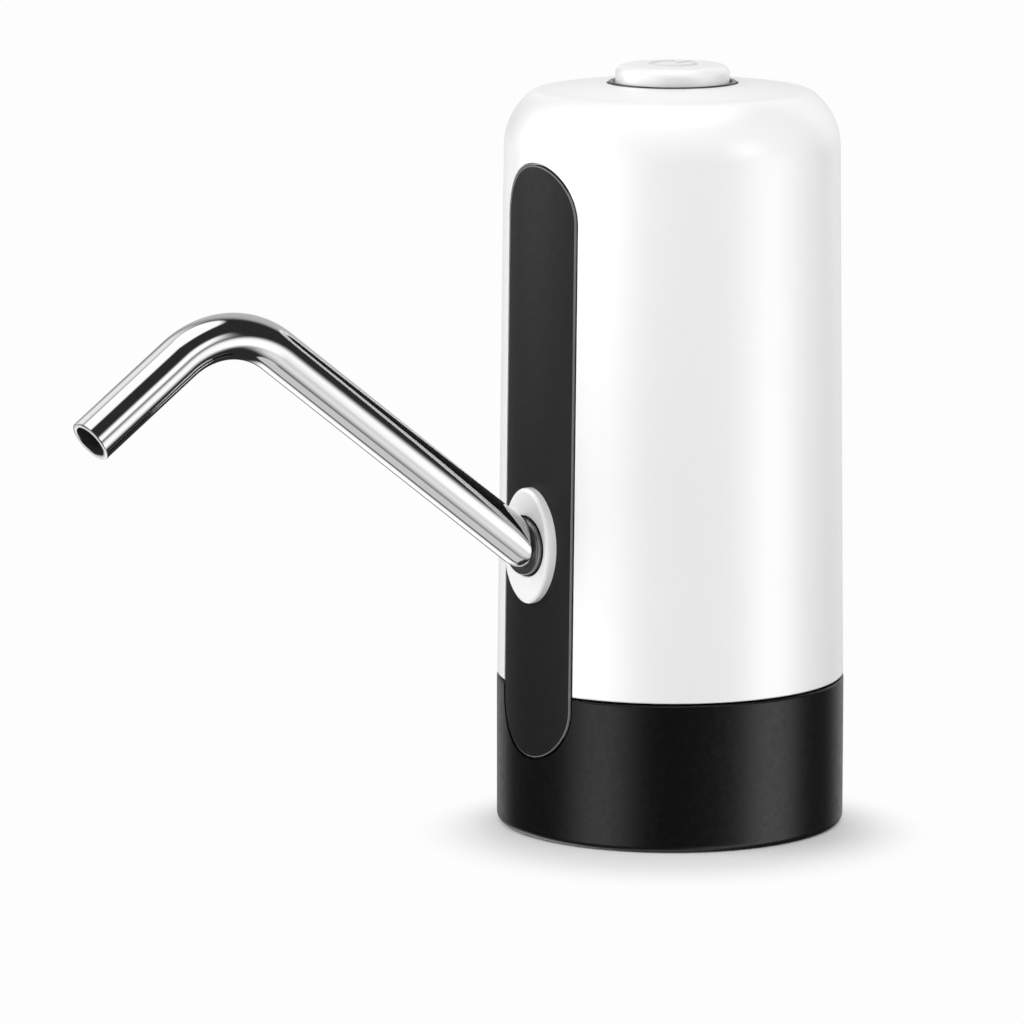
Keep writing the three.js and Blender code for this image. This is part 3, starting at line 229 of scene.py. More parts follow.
def linear(text):
    # an sRGB hex value as linear colour, opaque
    parts = [int(text[i:i + 2], 16) / 255 for i in (1, 3, 5)]
    return [p / 12.92 if p <= 0.04045 else ((p + 0.055) / 1.055) ** 2.4 for p in parts] + [1]


def addNode(tree, kind, settings=None, inputs=None):
    node = tree.nodes.new(kind)
    for key, value in (settings or {}).items():
        setattr(node, key, value)
    for key, value in (inputs or {}).items():
        if isinstance(value, bpy.types.NodeSocket):
            tree.links.new(value, node.inputs[key])
        else:
            node.inputs[key].default_value = value
    return node


def perMm(size):
    return 1000 / size  # a texture scale for features of a size in millimetres


def startMaterial(name, colour, roughness, metallic=0.0, **sockets):
    material = bpy.data.materials.new(name)
    material.use_nodes = True
    material.diffuse_color = linear(colour)
    tree = material.node_tree
    shader = tree.nodes["Principled BSDF"]
    shader.inputs["Base Color"].default_value = linear(colour)
    shader.inputs["Roughness"].default_value = roughness
    shader.inputs["Metallic"].default_value = metallic
    for key, value in sockets.items():
        shader.inputs[key.replace("_", " ")].default_value = value
    where = addNode(tree, "ShaderNodeTexCoord").outputs["Object"]
    return material, tree, shader, where


def noise(tree, where, size, detail=2.0, stretch=None):
    # grey noise whose features are about a size in millimetres, stretched along some axes
    if stretch:
        where = addNode(tree, "ShaderNodeMapping", {}, {0: where, "Scale": stretch}).outputs[0]
    inputs = {"Vector": where, "Scale": perMm(size), "Detail": detail}
    return addNode(tree, "ShaderNodeTexNoise", {"noise_dimensions": "3D"}, inputs).outputs["Fac"]


def spread(tree, value, low, high):
    # noise keeps mostly between 0.3 and 0.7, and this draws it out between low and high
    inputs = {"Value": value, "From Min": 0.3, "From Max": 0.7, "To Min": low, "To Max": high}
    return addNode(tree, "ShaderNodeMapRange", {}, inputs).outputs[0]


def mottle(tree, shader, value, dark, light):
    # the base colour moves between two near tones
    tones = {0: value, 6: linear(dark), 7: linear(light)}
    blend = addNode(tree, "ShaderNodeMix", {"data_type": "RGBA"}, tones)
    tree.links.new(blend.outputs[2], shader.inputs["Base Color"])


def relief(tree, shader, height, depth, below=None):
    # bump of a depth in millimetres, on top of another bump where one is given
    inputs = {"Height": height, "Distance": depth * mm, "Strength": 1.0}
    if below:
        inputs["Normal"] = below
    bump = addNode(tree, "ShaderNodeBump", {}, inputs).outputs[0]
    tree.links.new(bump, shader.inputs["Normal"])
    return bump


def linesByUv(tree, scale, detail):
    # noise drawn out along the piece's own UV map, which is in millimetres
    along = addNode(tree, "ShaderNodeUVMap", {"uv_map": "UVMap"}).outputs[0]
    stretched = addNode(tree, "ShaderNodeMapping", {}, {0: along, "Scale": scale}).outputs[0]
    inputs = {"Vector": stretched, "Scale": 1.0, "Detail": detail}
    return addNode(tree, "ShaderNodeTexNoise", {}, inputs).outputs["Fac"]


def whiteAbs():
    # moulded ABS with a glossy skin: soft bright bands, uneven gloss, and a moulded wall's slight waves
    material, tree, shader, where = startMaterial(
        "mouldedWhiteAbs", "#F0F0F0", 0.3, IOR=1.5, Specular_IOR_Level=1,
        Coat_Weight=1, Coat_Roughness=0.31, Coat_IOR=1.75)
    tree.links.new(spread(tree, noise(tree, where, 9), 0.3, 0.36), shader.inputs["Roughness"])
    mottle(tree, shader, noise(tree, where, 30), "#EFEFEF", "#F1F1F1")
    relief(tree, shader, noise(tree, where, 6, 1), 0.004)
    return material


def blackAbs():
    # spark-eroded mould texture: matte black with a fine grain that breaks its highlights up
    material, tree, shader, where = startMaterial("sparkTexturedBlackAbs", "#060606", 0.33, IOR=1.5)
    tree.links.new(spread(tree, noise(tree, where, 1.2, 3), 0.29, 0.37), shader.inputs["Roughness"])
    mottle(tree, shader, noise(tree, where, 2.5, 4), "#050505", "#070707")
    waves = relief(tree, shader, noise(tree, where, 8, 1), 0.01)
    # the real grain is about 0.1 mm, too fine to show, so this one is coarser
    relief(tree, shader, noise(tree, where, 0.3, 3), 0.012, waves)
    return material


def charcoalAbs():
    # the strip: the same mould texture in charcoal, a little lighter and flatter than the base
    material, tree, shader, where = startMaterial("sparkTexturedCharcoalAbs", "#101011", 0.5, IOR=1.5)
    tree.links.new(spread(tree, noise(tree, where, 1, 3), 0.45, 0.55), shader.inputs["Roughness"])
    mottle(tree, shader, noise(tree, where, 1.5, 4), "#0F0F10", "#121213")
    relief(tree, shader, noise(tree, where, 0.3, 3), 0.014)
    return material


def burnishedEdge():
    # the strip's rounded rim: a painted highlight, a lighter grey that stands in for the light line the edge
    # catches, with a smoother gloss
    material, tree, shader, where = startMaterial("burnishedCharcoalEdge", "#707072", 0.34, IOR=1.5)
    tree.links.new(spread(tree, noise(tree, where, 3, 2), 0.3, 0.4), shader.inputs["Roughness"])
    mottle(tree, shader, noise(tree, where, 4, 3), "#6A6A6C", "#767678")
    relief(tree, shader, noise(tree, where, 0.5, 2), 0.003)
    return material


def symbolGrey():
    # the power symbol: the button's own plastic, moulded matte, and painted a little grey as painted shade
    # that stands in for the shading of its raised strokes
    material, tree, shader, where = startMaterial("matteGreySymbol", "#CFCFCF", 0.5, IOR=1.5)
    tree.links.new(spread(tree, noise(tree, where, 2, 2), 0.45, 0.56), shader.inputs["Roughness"])
    mottle(tree, shader, noise(tree, where, 3, 2), "#CBCBCB", "#D3D3D3")
    relief(tree, shader, noise(tree, where, 0.5, 2), 0.004)
    return material


def polishedSteel():
    # stainless tube, drawn and polished: mirror gloss, with faint lines along its length
    material, tree, shader, where = startMaterial("polishedStainlessSteel", "#C3C3C4", 0.05, 1.0)
    drawn = linesByUv(tree, (2.5, 0.03, 1), 3)
    tree.links.new(spread(tree, drawn, 0.035, 0.07), shader.inputs["Roughness"])
    mottle(tree, shader, noise(tree, where, 14, 2), "#C1C1C2", "#C5C5C6")
    relief(tree, shader, drawn, 0.0001)
    return material


def dullBore():
    # the tube's bore, pickled and never polished: dark and rough
    material, tree, shader, where = startMaterial("pickledSteelBore", "#343435", 0.5, 0.2)
    tree.links.new(spread(tree, noise(tree, where, 0.8, 3), 0.42, 0.6), shader.inputs["Roughness"])
    mottle(tree, shader, noise(tree, where, 2, 3), "#2C2C2D", "#3C3C3D")
    relief(tree, shader, noise(tree, where, 0.4, 3), 0.01)
    return material


def darkRing():
    # brass ring with a black nickel plating, turned, so fine rings run round it
    material, tree, shader, _ = startMaterial("blackNickelPlatedRing", "#6A6A6D", 0.24, 1.0, Anisotropic=0.4)
    rings = linesByUv(tree, (0.02, 8, 1), 2)
    tree.links.new(spread(tree, rings, 0.2, 0.32), shader.inputs["Roughness"])
    mottle(tree, shader, rings, "#5E5E61", "#76767A")
    relief(tree, shader, rings, 0.001)
    return material


def grainy(name, colour, other, roughness, size, depth, metallic=0.0, **sockets):
    # a plain finish with a mottled tone, an uneven gloss and a fine grain, for pieces of the works
    material, tree, shader, where = startMaterial(name, colour, roughness, metallic, **sockets)
    gloss = spread(tree, noise(tree, where, size * 4, 3), roughness * 0.85, min(roughness * 1.2, 1))
    tree.links.new(gloss, shader.inputs["Roughness"])
    mottle(tree, shader, noise(tree, where, size * 7, 3), colour, other)
    relief(tree, shader, noise(tree, where, size, 3), depth)
    return material


def brushed(name, colour, other, roughness, stretch):
    # metal with fine lines along one axis
    material, tree, shader, where = startMaterial(name, colour, roughness, 1.0)
    lines = noise(tree, where, 0.25, 3, stretch)
    tree.links.new(spread(tree, lines, roughness * 0.75, roughness * 1.3), shader.inputs["Roughness"])
    mottle(tree, shader, lines, colour, other)
    relief(tree, shader, lines, 0.004)
    return material


def windings():
    # the rotor and magnets: dark ferrite with the fine layers of stacked plates along the axis
    material, tree, shader, where = startMaterial("ferriteAndLaminations", "#4A4C50", 0.5, 0.6)
    layers = noise(tree, where, 0.5, 1, (0.02, 0.02, 1))
    tree.links.new(spread(tree, layers, 0.4, 0.62), shader.inputs["Roughness"])
    mottle(tree, shader, layers, "#3A3B3F", "#5C5E63")
    relief(tree, shader, layers, 0.02)
    return material


def clearLens():
    # moulded acrylic light pipe, slightly milky
    material, tree, shader, where = startMaterial("milkyAcrylicLens", "#E6EEF6", 0.18, IOR=1.49)
    shader.inputs["Transmission Weight"].default_value = 0.35
    tree.links.new(spread(tree, noise(tree, where, 0.8, 2), 0.12, 0.26), shader.inputs["Roughness"])
    mottle(tree, shader, noise(tree, where, 1.5, 2), "#DCE6F0", "#F0F5FA")
    return material


finishes = {
    "white_plastic": whiteAbs(),
    "black_plastic": blackAbs(),
    "charcoal_plastic": charcoalAbs(),
    "boot_rubber": grainy("matteSilicone", "#2B2C2E", "#313234", 0.62, 0.4, 0.01, IOR=1.43),
    "hose_rubber": grainy("milkySiliconeHose", "#D8DCDC", "#E4E8E8", 0.35, 0.6, 0.006, IOR=1.43),
    "dark_ring": darkRing(),
    "spout_steel": polishedSteel(),
    "plain_steel": brushed("drawnSteel", "#B9BABC", "#CDCED0", 0.28, (1, 1, 0.05)),
    "screw_steel": brushed("zincPlatedSteel", "#A9ABAF", "#C2C4C8", 0.34, (1, 1, 0.3)),
    "grey_plastic": grainy("mouldedGreyAcetal", "#5B5E62", "#66696D", 0.42, 0.4, 0.008),
    "frame_plastic": grainy("naturalAbs", "#D8D4C8", "#DEDACF", 0.45, 0.5, 0.008),
    "dark_plastic": grainy("mouldedBlackNylon", "#202123", "#28292B", 0.48, 0.35, 0.01),
    "magnet_iron": windings(),
    "brass": brushed("turnedBrass", "#B08A46", "#C7A35C", 0.26, (1, 1, 0.1)),
    "cell_steel": grainy("heatShrunkWrap", "#2F63A6", "#3A6FB2", 0.3, 1.2, 0.02),
    "board_green": grainy("solderMaskedGlassEpoxy", "#1C6A3A", "#237544", 0.36, 0.6, 0.01),
    "lamp_lens": clearLens(),
    "red_lead": grainy("redPvcInsulation", "#A8201B", "#B62A24", 0.42, 0.5, 0.008),
    "black_lead": grainy("blackPvcInsulation", "#1D1D1F", "#252527", 0.42, 0.5, 0.008),
}
bore = dullBore()
print("materials ready:", len(finishes) + 1)


def finished(piece, body, slot, *replaced):
    if not piece.data.materials:
        piece.data.materials.append(finishes[slot])
    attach(piece, body)
    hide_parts(*replaced)
    return piece


# The slot-shaped strip and its recess follow the body's wall

shoulderLevel = 104.017  # the wall tapers up to here, where the shoulder's arc begins
wallTaper = 1.25
strip = {
    "halfWidth": 10.34,
    "thickness": 1.1,
    "gap": 0.5,
    "sink": 0.3,  # the recess is this much deeper than the strip
    "edge": 0.4,
}
stripLow, stripHigh = cad("front_strip")[0].z, cad("front_strip")[1].z


def wallRadius(level):
    share = max(level - seamZ, 0) / (shoulderLevel - seamZ)
    return bodyRadius + (shellRadius - wallTaper - bodyRadius) * share


def slotRing(half, low, high, inset, depth):
    # the slot's outline drawn in by an inset, laid on the wall at a depth below its surface
    bend, run = 40, 44
    reach = max(half - inset, 0)
    bottom, top = low + half, high - half
    angles = [math.pi * k / bend for k in range(bend + 1)]
    flat = [(reach * math.cos(a), top + reach * math.sin(a)) for a in angles]
    flat += [(-reach, top + (bottom - top) * k / run) for k in range(1, run)]
    flat += [(-reach * math.cos(a), bottom - reach * math.sin(a)) for a in angles]
    flat += [(reach, bottom + (top - bottom) * k / run) for k in range(1, run)]
    return [(x, -math.sqrt(max((wallRadius(z) - depth) ** 2 - x * x, 0)), z) for x, z in flat]


def slotBody(name, margin, thickness, proud, edge):
    half = strip["halfWidth"] + margin
    low, high = stripLow - margin, stripHigh + margin
    inner = [half * (1 - k / 9) for k in range(1, 9)]
    steps = [(half, thickness)] + [(half - d, thickness) for d in reversed(inner)] + [(0, thickness)]
    if edge:
        turns = [math.pi / 2 * k / 5 for k in range(6)]
        steps += [(edge - edge * math.cos(a), edge - edge * math.sin(a)) for a in turns]
    else:
        steps.append((0, -proud))
    steps += [(half - d, -proud) for d in inner if half - d > edge] + [(half, -proud)]
    bm = bmesh.new()
    loft(bm, [slotRing(half, low, high, inset, depth) for inset, depth in steps], closed=False)
    return meshPiece(name, bm)


def recess():
    return slotBody("recess", strip["gap"], strip["thickness"] + strip["sink"], 4, 0)


spoutRadius = 4.25
bushInner = spoutRadius + 0.3
bushNeck = bushInner + 0.85
flangeHole = bushNeck + 0.3
spigotRadius = flangeHole + 0.8


def makeStrip():
    piece = slotBody("frontStrip", 0, strip["thickness"], 0, strip["edge"])
    carve(piece, rodAlongSpout(spigotRadius + 0.3, bodyRadius / 2, bodyRadius + 4))
    for finish in (finishes["charcoal_plastic"], burnishedEdge()):
        piece.data.materials.append(finish)
    tidied(piece)
    # the rim's rounded faces take the painted highlight colour
    for face in piece.data.polygons:
        outward = Vector((face.center.x, face.center.y, 0)).normalized().dot(face.normal)
        face.material_index = 1 if 0.6 < outward < 0.96 else 0
    return finished(piece, "housing", "charcoal_plastic", "front_strip")


# Base: the socket for the bottle's neck

base = {
    "socketRadius": 30,
    "deckLow": 2.3,
    "deckTop": 5.5,
    "collarOuter": 30.2,
    "collarInner": 28.2,
    "rimRounding": 1.4,
    "innerRimRounding": 0.5,
    "seamRounding": 0.35,
    "screwCircle": 25.3,
    "screwHole": 1.5,
    "headHole": 2.6,
    "headSeat": 4,
    "bossRadius": 3.3,
}
nipplePlace = [(a + b) / 2 for a, b in zip(*cad("inlet_nipple"))][:2]


def makeBase():
    v = base
    profile = [
        (0, v["deckLow"], 0),
        (v["socketRadius"], v["deckLow"], 0.4),
        (v["socketRadius"], rimZ, v["innerRimRounding"]),
        (bodyRadius, rimZ, v["rimRounding"]),
        (bodyRadius, seamZ, v["seamRounding"]),
        (v["collarOuter"], seamZ, 0),
        (v["collarOuter"], collarTopZ, 0.3),
        (v["collarInner"], collarTopZ, 0.3),
        (v["collarInner"], v["deckTop"], 0),
        (0, v["deckTop"], 0),
    ]
    piece = turned("base", profile, 256)
    spots = [(v["screwCircle"] * math.cos(a), v["screwCircle"] * math.sin(a))
             for a in (math.pi / 4 + math.pi / 2 * k for k in range(4))]
    bosses = [rod(v["bossRadius"], v["deckLow"] + 0.5, collarTopZ, spot) for spot in spots]
    carve(piece, *bosses, operation="UNION")
    cuts = [rod(v["screwHole"], v["deckLow"] - 1, collarTopZ + 1, spot) for spot in spots]
    cuts += [rod(v["headHole"], v["deckLow"] - 1, v["headSeat"], spot) for spot in spots]
    cuts += [rod(5.1, v["deckLow"] - 1, v["deckTop"] + 1, nipplePlace), recess()]
    carve(piece, *cuts)
    return finished(tidied(piece, 0.15), "housing", "black_plastic", "base_skirt")


# Upper shell

shell = {
    "wall": 2.4,
    "ceiling": 2.6,
    "crown": 1.5,  # the top rises from its crease to the button like a shallow dome
    "ceilingFlat": 14.3,
    "shoulderRadius": 12.5,
    "shoulderTurn": 51,
    "creaseTurn": 57,
    "creaseRounding": 3,
    "seamRounding": 0.35,
    "buttonHole": 12.3,
    "holeRounding": 0.35,
    "lampHole": 1.4,
}
socket = {
    "halfWidth": 4.5,
    "halfHeight": 1.6,
    "wall": 0.4,
    "gap": 0.3,
    "edge": 0.1,
    "tongueHalf": 3,
    "tongueThickness": 0.7,
    "tongueSink": 2.5,
}
socketLow, socketHigh = cad("charge_socket")
socketZ = (socketLow.z + socketHigh.z) / 2
lampLow, lampHigh = cad("charge_lamp")
lampX, lampZ = (lampLow.x + lampHigh.x) / 2, (lampLow.z + lampHigh.z) / 2


def pillRing(half, tall, y):
    # a slot lying along X about the socket's middle, at a reach along Y
    run = half - tall
    angles = [math.pi * k / 12 for k in range(13)]
    flat = [(run + tall * math.sin(a), -tall * math.cos(a)) for a in angles]
    flat += [(-run - tall * math.sin(a), tall * math.cos(a)) for a in angles]
    return [(x, y, socketZ + z) for x, z in flat]


def pillBody(name, half, tall, near, far):
    bm = bmesh.new()
    rings = [pillRing(half, tall, near), pillRing(half, tall, far)]
    rows = loft(bm, rings, closed=False)
    bm.faces.new(rows[0])
    bm.faces.new(list(reversed(rows[1])))
    return meshPiece(name, bm)


def makeShell():
    v = shell
    centre = (shellRadius - wallTaper - v["shoulderRadius"], shoulderLevel)
    crease = arcPoints(centre, v["shoulderRadius"], v["creaseTurn"], v["creaseTurn"], 1)[0]
    creaseZ = topZ - v["crown"]
    ceilingZ = topZ - v["ceiling"]
    shoulderCeiling = creaseZ - v["ceiling"] - centre[1]
    innerTurn = math.degrees(math.asin(shoulderCeiling / (v["shoulderRadius"] - v["wall"])))
    innerArc = arcPoints(centre, v["shoulderRadius"] - v["wall"], innerTurn, 0, 8)
    profile = [
        (shellRadius - v["wall"], shellFootZ, 0),
        (shellRadius, shellFootZ, v["seamRounding"]),
        *arcPoints(centre, v["shoulderRadius"], 0, v["shoulderTurn"], 28),
        (crease[0], creaseZ, v["creaseRounding"]),
        *domePoints(crease[0] - 2, creaseZ, v["buttonHole"] + 1, topZ, 10),
        (v["buttonHole"], topZ, v["holeRounding"]),
        (v["buttonHole"], ceilingZ, 0),
        (v["ceilingFlat"], ceilingZ, 0),
        *innerArc,
    ]
    piece = turned("upperShell", profile, 256)
    mouth = pillBody("mouth", socket["halfWidth"] + socket["gap"], socket["halfHeight"] + socket["gap"],
                     socketHigh.y - 4, bodyRadius + 4)
    lampHole = turned("lampHole", rodProfile(v["lampHole"], -5, 20), 48,
                      (lampX, lampHigh.y + 4, lampZ), alongSpout=True)
    spigotHole = rodAlongSpout(spigotRadius + 0.3, bodyRadius / 2, bodyRadius + 4)
    carve(piece, recess(), spigotHole, mouth, lampHole)
    return finished(tidied(piece, 0.15), "housing", "white_plastic", "upper_shell")


# Spout flange: an oval collar with a soft edge

flange = {
    "height": 21.9,
    "width": 14,
    "face": 34.2,
    "softWidth": 0.8,
    "softDepth": 0.6,
    "holeRounding": 0.3,
    "spigotEnd": 28.8,
    "seatGap": 0.08,
}


def makeFlange():
    v = flange
    sides = 160
    angles = [2 * math.pi * k / sides for k in range(sides)]

    def seatReach(x, z):
        return math.sqrt((wallRadius(spoutZ + z) + v["seatGap"]) ** 2 - x * x)

    def oval(inset, reach=None):
        # the outline drawn in by an inset, at a reach from the axis, or on the body's wall
        a, b = v["width"] / 2 - inset, v["height"] / 2 - inset
        spots = [(a * math.cos(t), b * math.sin(t)) for t in angles]
        return [(x, -(reach or seatReach(x, z)), spoutZ + z) for x, z in spots]

    def hoop(radius, reach=None):
        spots = [(radius * math.cos(t), radius * math.sin(t)) for t in angles]
        return [(x, -(reach or seatReach(x, z)), spoutZ + z) for x, z in spots]

    def softFace(share):
        # from the rim in to the hole's edge, the face rises along a soft rounding
        ring = []
        for p, q in zip(oval(0), hoop(holeEdge)):
            inward = Vector((q[0] - p[0], q[2] - p[2])) * share
            left = max(1 - inward.length / v["softWidth"], 0)
            drop = v["softDepth"] * (1 - math.sqrt(1 - left * left))
            ring.append((p[0] + inward.x, drop - v["face"], p[2] + inward.y))
        return ring

    edge = v["holeRounding"]
    holeEdge = flangeHole + edge
    shares = [1 - math.cos(math.pi / 2 * k / 24) for k in range(25)]
    rings = [oval(0)] + [softFace(share) for share in shares]
    turns = [math.pi / 2 * k / 6 for k in range(1, 7)]
    rings += [hoop(flangeHole + edge * (1 - math.sin(a)), v["face"] - edge * (1 - math.cos(a)))
              for a in turns]
    rings += [hoop(flangeHole, v["spigotEnd"]), hoop(spigotRadius, v["spigotEnd"]), hoop(spigotRadius)]
    bm = bmesh.new()
    loft(bm, rings)
    piece = meshPiece("spoutFlange", bm)
    return finished(tidied(piece), "housing", "white_plastic", "spout_flange")


# Swivel bush: the dark ring that the spout turns in

bush = {
    "bodyFront": 28,
    "grooveHalf": 1,
    "grooveDepth": 1.05,
}


def makeBush():
    v = bush
    near, far = -bushHigh.y, -bushLow.y
    bodyOuter = (bushHigh.x - bushLow.x) / 2
    middle = (near + v["bodyFront"]) / 2
    grooveNear, grooveFar = middle - v["grooveHalf"], middle + v["grooveHalf"]
    profile = [
        (bushInner, near, 0.2),
        (bodyOuter, near, 0.3),
        (bodyOuter, v["bodyFront"], 0.3),
        (bushNeck, v["bodyFront"], 0),
        (bushNeck, far, 0.2),
        (bushInner, far, 0.25),
        (bushInner, grooveFar, 0),
        (bushInner + v["grooveDepth"], grooveFar, 0),
        (bushInner + v["grooveDepth"], grooveNear, 0),
        (bushInner, grooveNear, 0),
    ]
    piece = turned("swivelBush", profile, 128, (0, 0, spoutZ), alongSpout=True)
    return finished(tidied(piece), "bush", "dark_plastic", "swivel_bush")


# Spout: one bent tube

spout = {
    "wall": 1,
    "start": 17.4,
    "rootCorner": 34.7,
    "rootBend": 4.6,
    "collarStart": 33.9,
    "collarLength": 1.3,
    "armLength": 82,
    "armRise": 37.1,
    "apexBend": 18,
    "outletLength": 36.3,
    "outletFall": 34.9,
    "lip": 0.2,
    "innerLip": 0.15,
    "sides": 96,
    "bendStep": 2.5,
}


def spoutStations():
    # points and directions along the centre line, in the spout's plane, as (reach, level)
    v = spout
    root = Vector((v["rootCorner"], spoutZ))
    rise, fall = math.radians(v["armRise"]), math.radians(v["outletFall"])
    apex = root + v["armLength"] * Vector((math.cos(rise), math.sin(rise)))
    tip = apex + v["outletLength"] * Vector((math.cos(fall), -math.sin(fall)))
    corners = [Vector((v["start"], spoutZ)), root, apex, tip]
    stations = [(corners[0], (corners[1] - corners[0]).normalized())]
    for i, radius in ((1, v["rootBend"]), (2, v["apexBend"])):
        before = (corners[i] - corners[i - 1]).normalized()
        after = (corners[i + 1] - corners[i]).normalized()
        turn = math.atan2(before.x * after.y - before.y * after.x, before.dot(after))
        start = corners[i] - before * radius * math.tan(abs(turn) / 2)
        side = Vector((-before.y, before.x)) * math.copysign(1, turn)
        count = math.ceil(math.degrees(abs(turn)) / v["bendStep"])
        for k in range(count + 1):
            tilted = Matrix.Rotation(turn * k / count, 2)
            stations.append((start + side * radius - tilted @ (side * radius), tilted @ before))
    stations.append((tip, (tip - apex).normalized()))
    return stations


def makeSpout():
    v = spout
    stations = spoutStations()
    inner = spoutRadius - v["wall"]

    def hoop(point, way, radius, back=0):
        centre = point - way * back
        up = Vector((-way.y, way.x))
        angles = [2 * math.pi * k / v["sides"] for k in range(v["sides"])]
        return [(radius * math.cos(a), -(centre.x + up.x * radius * math.sin(a)),
                 centre.y + up.y * radius * math.sin(a)) for a in angles]

    end, way = stations[-1]
    turns = [math.pi / 2 * k / 6 for k in range(7)]
    outer = [hoop(p, w, spoutRadius) for p, w in stations[:-1]]
    outer += [hoop(end, way, spoutRadius - v["lip"] * (1 - math.cos(a)), v["lip"] * (1 - math.sin(a)))
              for a in turns]
    lip = [hoop(end, way, inner + v["innerLip"] * (1 - math.sin(a)), v["innerLip"] * (1 - math.cos(a)))
           for a in turns]
    back = [hoop(p, w, inner) for p, w in reversed(stations[:-1])]
    bm = bmesh.new()
    loft(bm, outer + lip + back)
    boreFaces = (len(outer) + len(lip)) * v["sides"]
    for i, face in enumerate(bm.faces):
        face.material_index = 1 if i >= boreFaces - v["sides"] else 0
    piece = meshPiece("spoutTube", bm, 60)
    satin = grainy("satinSteelCollar", "#8E8F91", "#9A9B9D", 0.36, 0.6, 0.002, 1.0)
    for finish in (finishes["spout_steel"], bore, satin):
        piece.data.materials.append(finish)
    front = v["collarStart"] + v["collarLength"]
    inWall = spoutRadius - v["wall"] / 2
    profile = [
        (inWall, v["collarStart"], 0),
        (bushNeck, v["collarStart"], 0.2),
        (bushNeck, front, 0.35),
        (inWall, front, 0),
    ]
    collar = turned("collar", profile, 128, (0, 0, spoutZ), alongSpout=True)
    carve(piece, collar, operation="UNION")
    tidied(piece, limit=50)
    for face in piece.data.polygons:
        middle = face.center / mm
        across = math.hypot(middle.x, middle.z - spoutZ)
        if v["collarStart"] - 0.1 < -middle.y < front + 0.1 and across > spoutRadius + 0.05:
            face.material_index = 2
    return finished(piece, "spout", "spout_steel", "spout_tube")


# Button: a capped skirt with a raised power symbol, and the ring round it

button = {
    "radius": 10.75,
    "rounding": 1.6,
    "dome": 0.25,
    "domeReach": 0.8,
    "symbolRise": 0.28,
    "symbolSink": 0.04,
    "symbolRadius": 4.2,
    "symbolWidth": 0.95,
    "symbolGap": 38,
    "symbolTurn": 105,
    "barFrom": 1.2,
    "barTo": 5.4,
    "flangeReach": 12.9,
    "flangeTop": 111.6,
    "flangeLow": 110.1,
    "skirtInner": 9.25,
    "ceiling": 117.2,
    "hubRadius": 6,
    "hubLow": 105.7,
    "stemRadius": 2,
}


def stroke(name, path, width, level, rise):
    # a raised line of half-round section along a flat path, round at both ends
    bm = bmesh.new()
    half, sides, caps = width / 2, 16, 5
    ways = [(path[min(i + 1, len(path) - 1)] - path[max(i - 1, 0)]).normalized() for i in range(len(path))]
    spine = [(path[0] - ways[0] * half * math.cos(a), ways[0], math.sin(a))
             for a in (math.pi / 2 * k / caps for k in range(caps))]
    spine += [(p, w, 1) for p, w in zip(path, ways)]
    spine += [(path[-1] + ways[-1] * half * math.sin(a), ways[-1], math.cos(a))
              for a in (math.pi / 2 * k / caps for k in range(1, caps + 1))]
    rings = []
    for point, way, scale in spine:
        across = Vector((-way.y, way.x))
        ring = []
        for k in range(sides):
            a = 2 * math.pi * k / sides
            side = half * math.cos(a) * max(scale, 0.02)
            high = rise * math.sin(a) * max(scale, 0.02) if math.sin(a) > 0 else 0.3 * math.sin(a)
            ring.append((point.x + across.x * side, point.y + across.y * side, level + high))
        rings.append(ring)
    rows = loft(bm, rings, closed=False)
    bm.faces.new(rows[0])
    bm.faces.new(rows[-1])
    return meshPiece(name, bm)


def makeButton():
    v = button
    rimLevel = buttonTopZ - v["symbolRise"] - v["dome"]
    stemZ = cad("button_cap")[0].z
    shares = [1 - k / 6 for k in range(6)]
    dome = [(v["radius"] * v["domeReach"] * t, rimLevel + v["dome"] * (1 - (v["domeReach"] * t) ** 2), 0)
            for t in shares]
    profile = [
        (0, stemZ, 0),
        (v["stemRadius"], stemZ, 0.3),
        (v["stemRadius"], v["hubLow"], 0),
        (v["hubRadius"], v["hubLow"], 0.3),
        (v["hubRadius"], v["ceiling"], 0),
        (v["skirtInner"], v["ceiling"], 0),
        (v["skirtInner"], v["flangeLow"], 0),
        (v["flangeReach"], v["flangeLow"], 0.2),
        (v["flangeReach"], v["flangeTop"], 0.2),
        (v["radius"], v["flangeTop"], 0),
        (v["radius"], rimLevel, v["rounding"]),
        *dome,
        (0, rimLevel + v["dome"], 0),
    ]
    piece = turned("buttonCap", profile, 192, steps=8)
    level = rimLevel + v["dome"] - v["symbolSink"]
    turn, gap = math.radians(v["symbolTurn"]), math.radians(v["symbolGap"])
    angles = [turn + gap + (2 * math.pi - 2 * gap) * k / 72 for k in range(73)]
    ring = [Vector((v["symbolRadius"] * math.cos(a), v["symbolRadius"] * math.sin(a))) for a in angles]
    outward = Vector((math.cos(turn), math.sin(turn)))
    bar = [outward * (v["barFrom"] + (v["barTo"] - v["barFrom"]) * k / 8) for k in range(9)]
    marks = [stroke(name, path, v["symbolWidth"], level, v["symbolRise"])
             for name, path in (("arc", ring), ("bar", bar))]
    carve(piece, *marks, operation="UNION")
    for finish in (finishes["white_plastic"], symbolGrey()):
        piece.data.materials.append(finish)
    tidied(piece)
    # the symbol's raised faces take the painted-shade grey
    for face in piece.data.polygons:
        middle = face.center / mm
        away = math.hypot(middle.x, middle.y) / v["radius"]
        above = middle.z - rimLevel - v["dome"] * (1 - away ** 2)
        face.material_index = 1 if away < 0.6 and above > 0.02 else 0
    return finished(piece, "button", "white_plastic", "button_cap")


bezel = {
    "inner": 11.05,
    "outer": 12,
    "flangeOuter": 14,
    "flangeThickness": 1.2,
    "proud": 0.25,  # above the plain ring, so that its front shows
    "slopeWidth": 0.25,
    "slopeDrop": 0.1,
    "slopeFoot": 0.5,
}


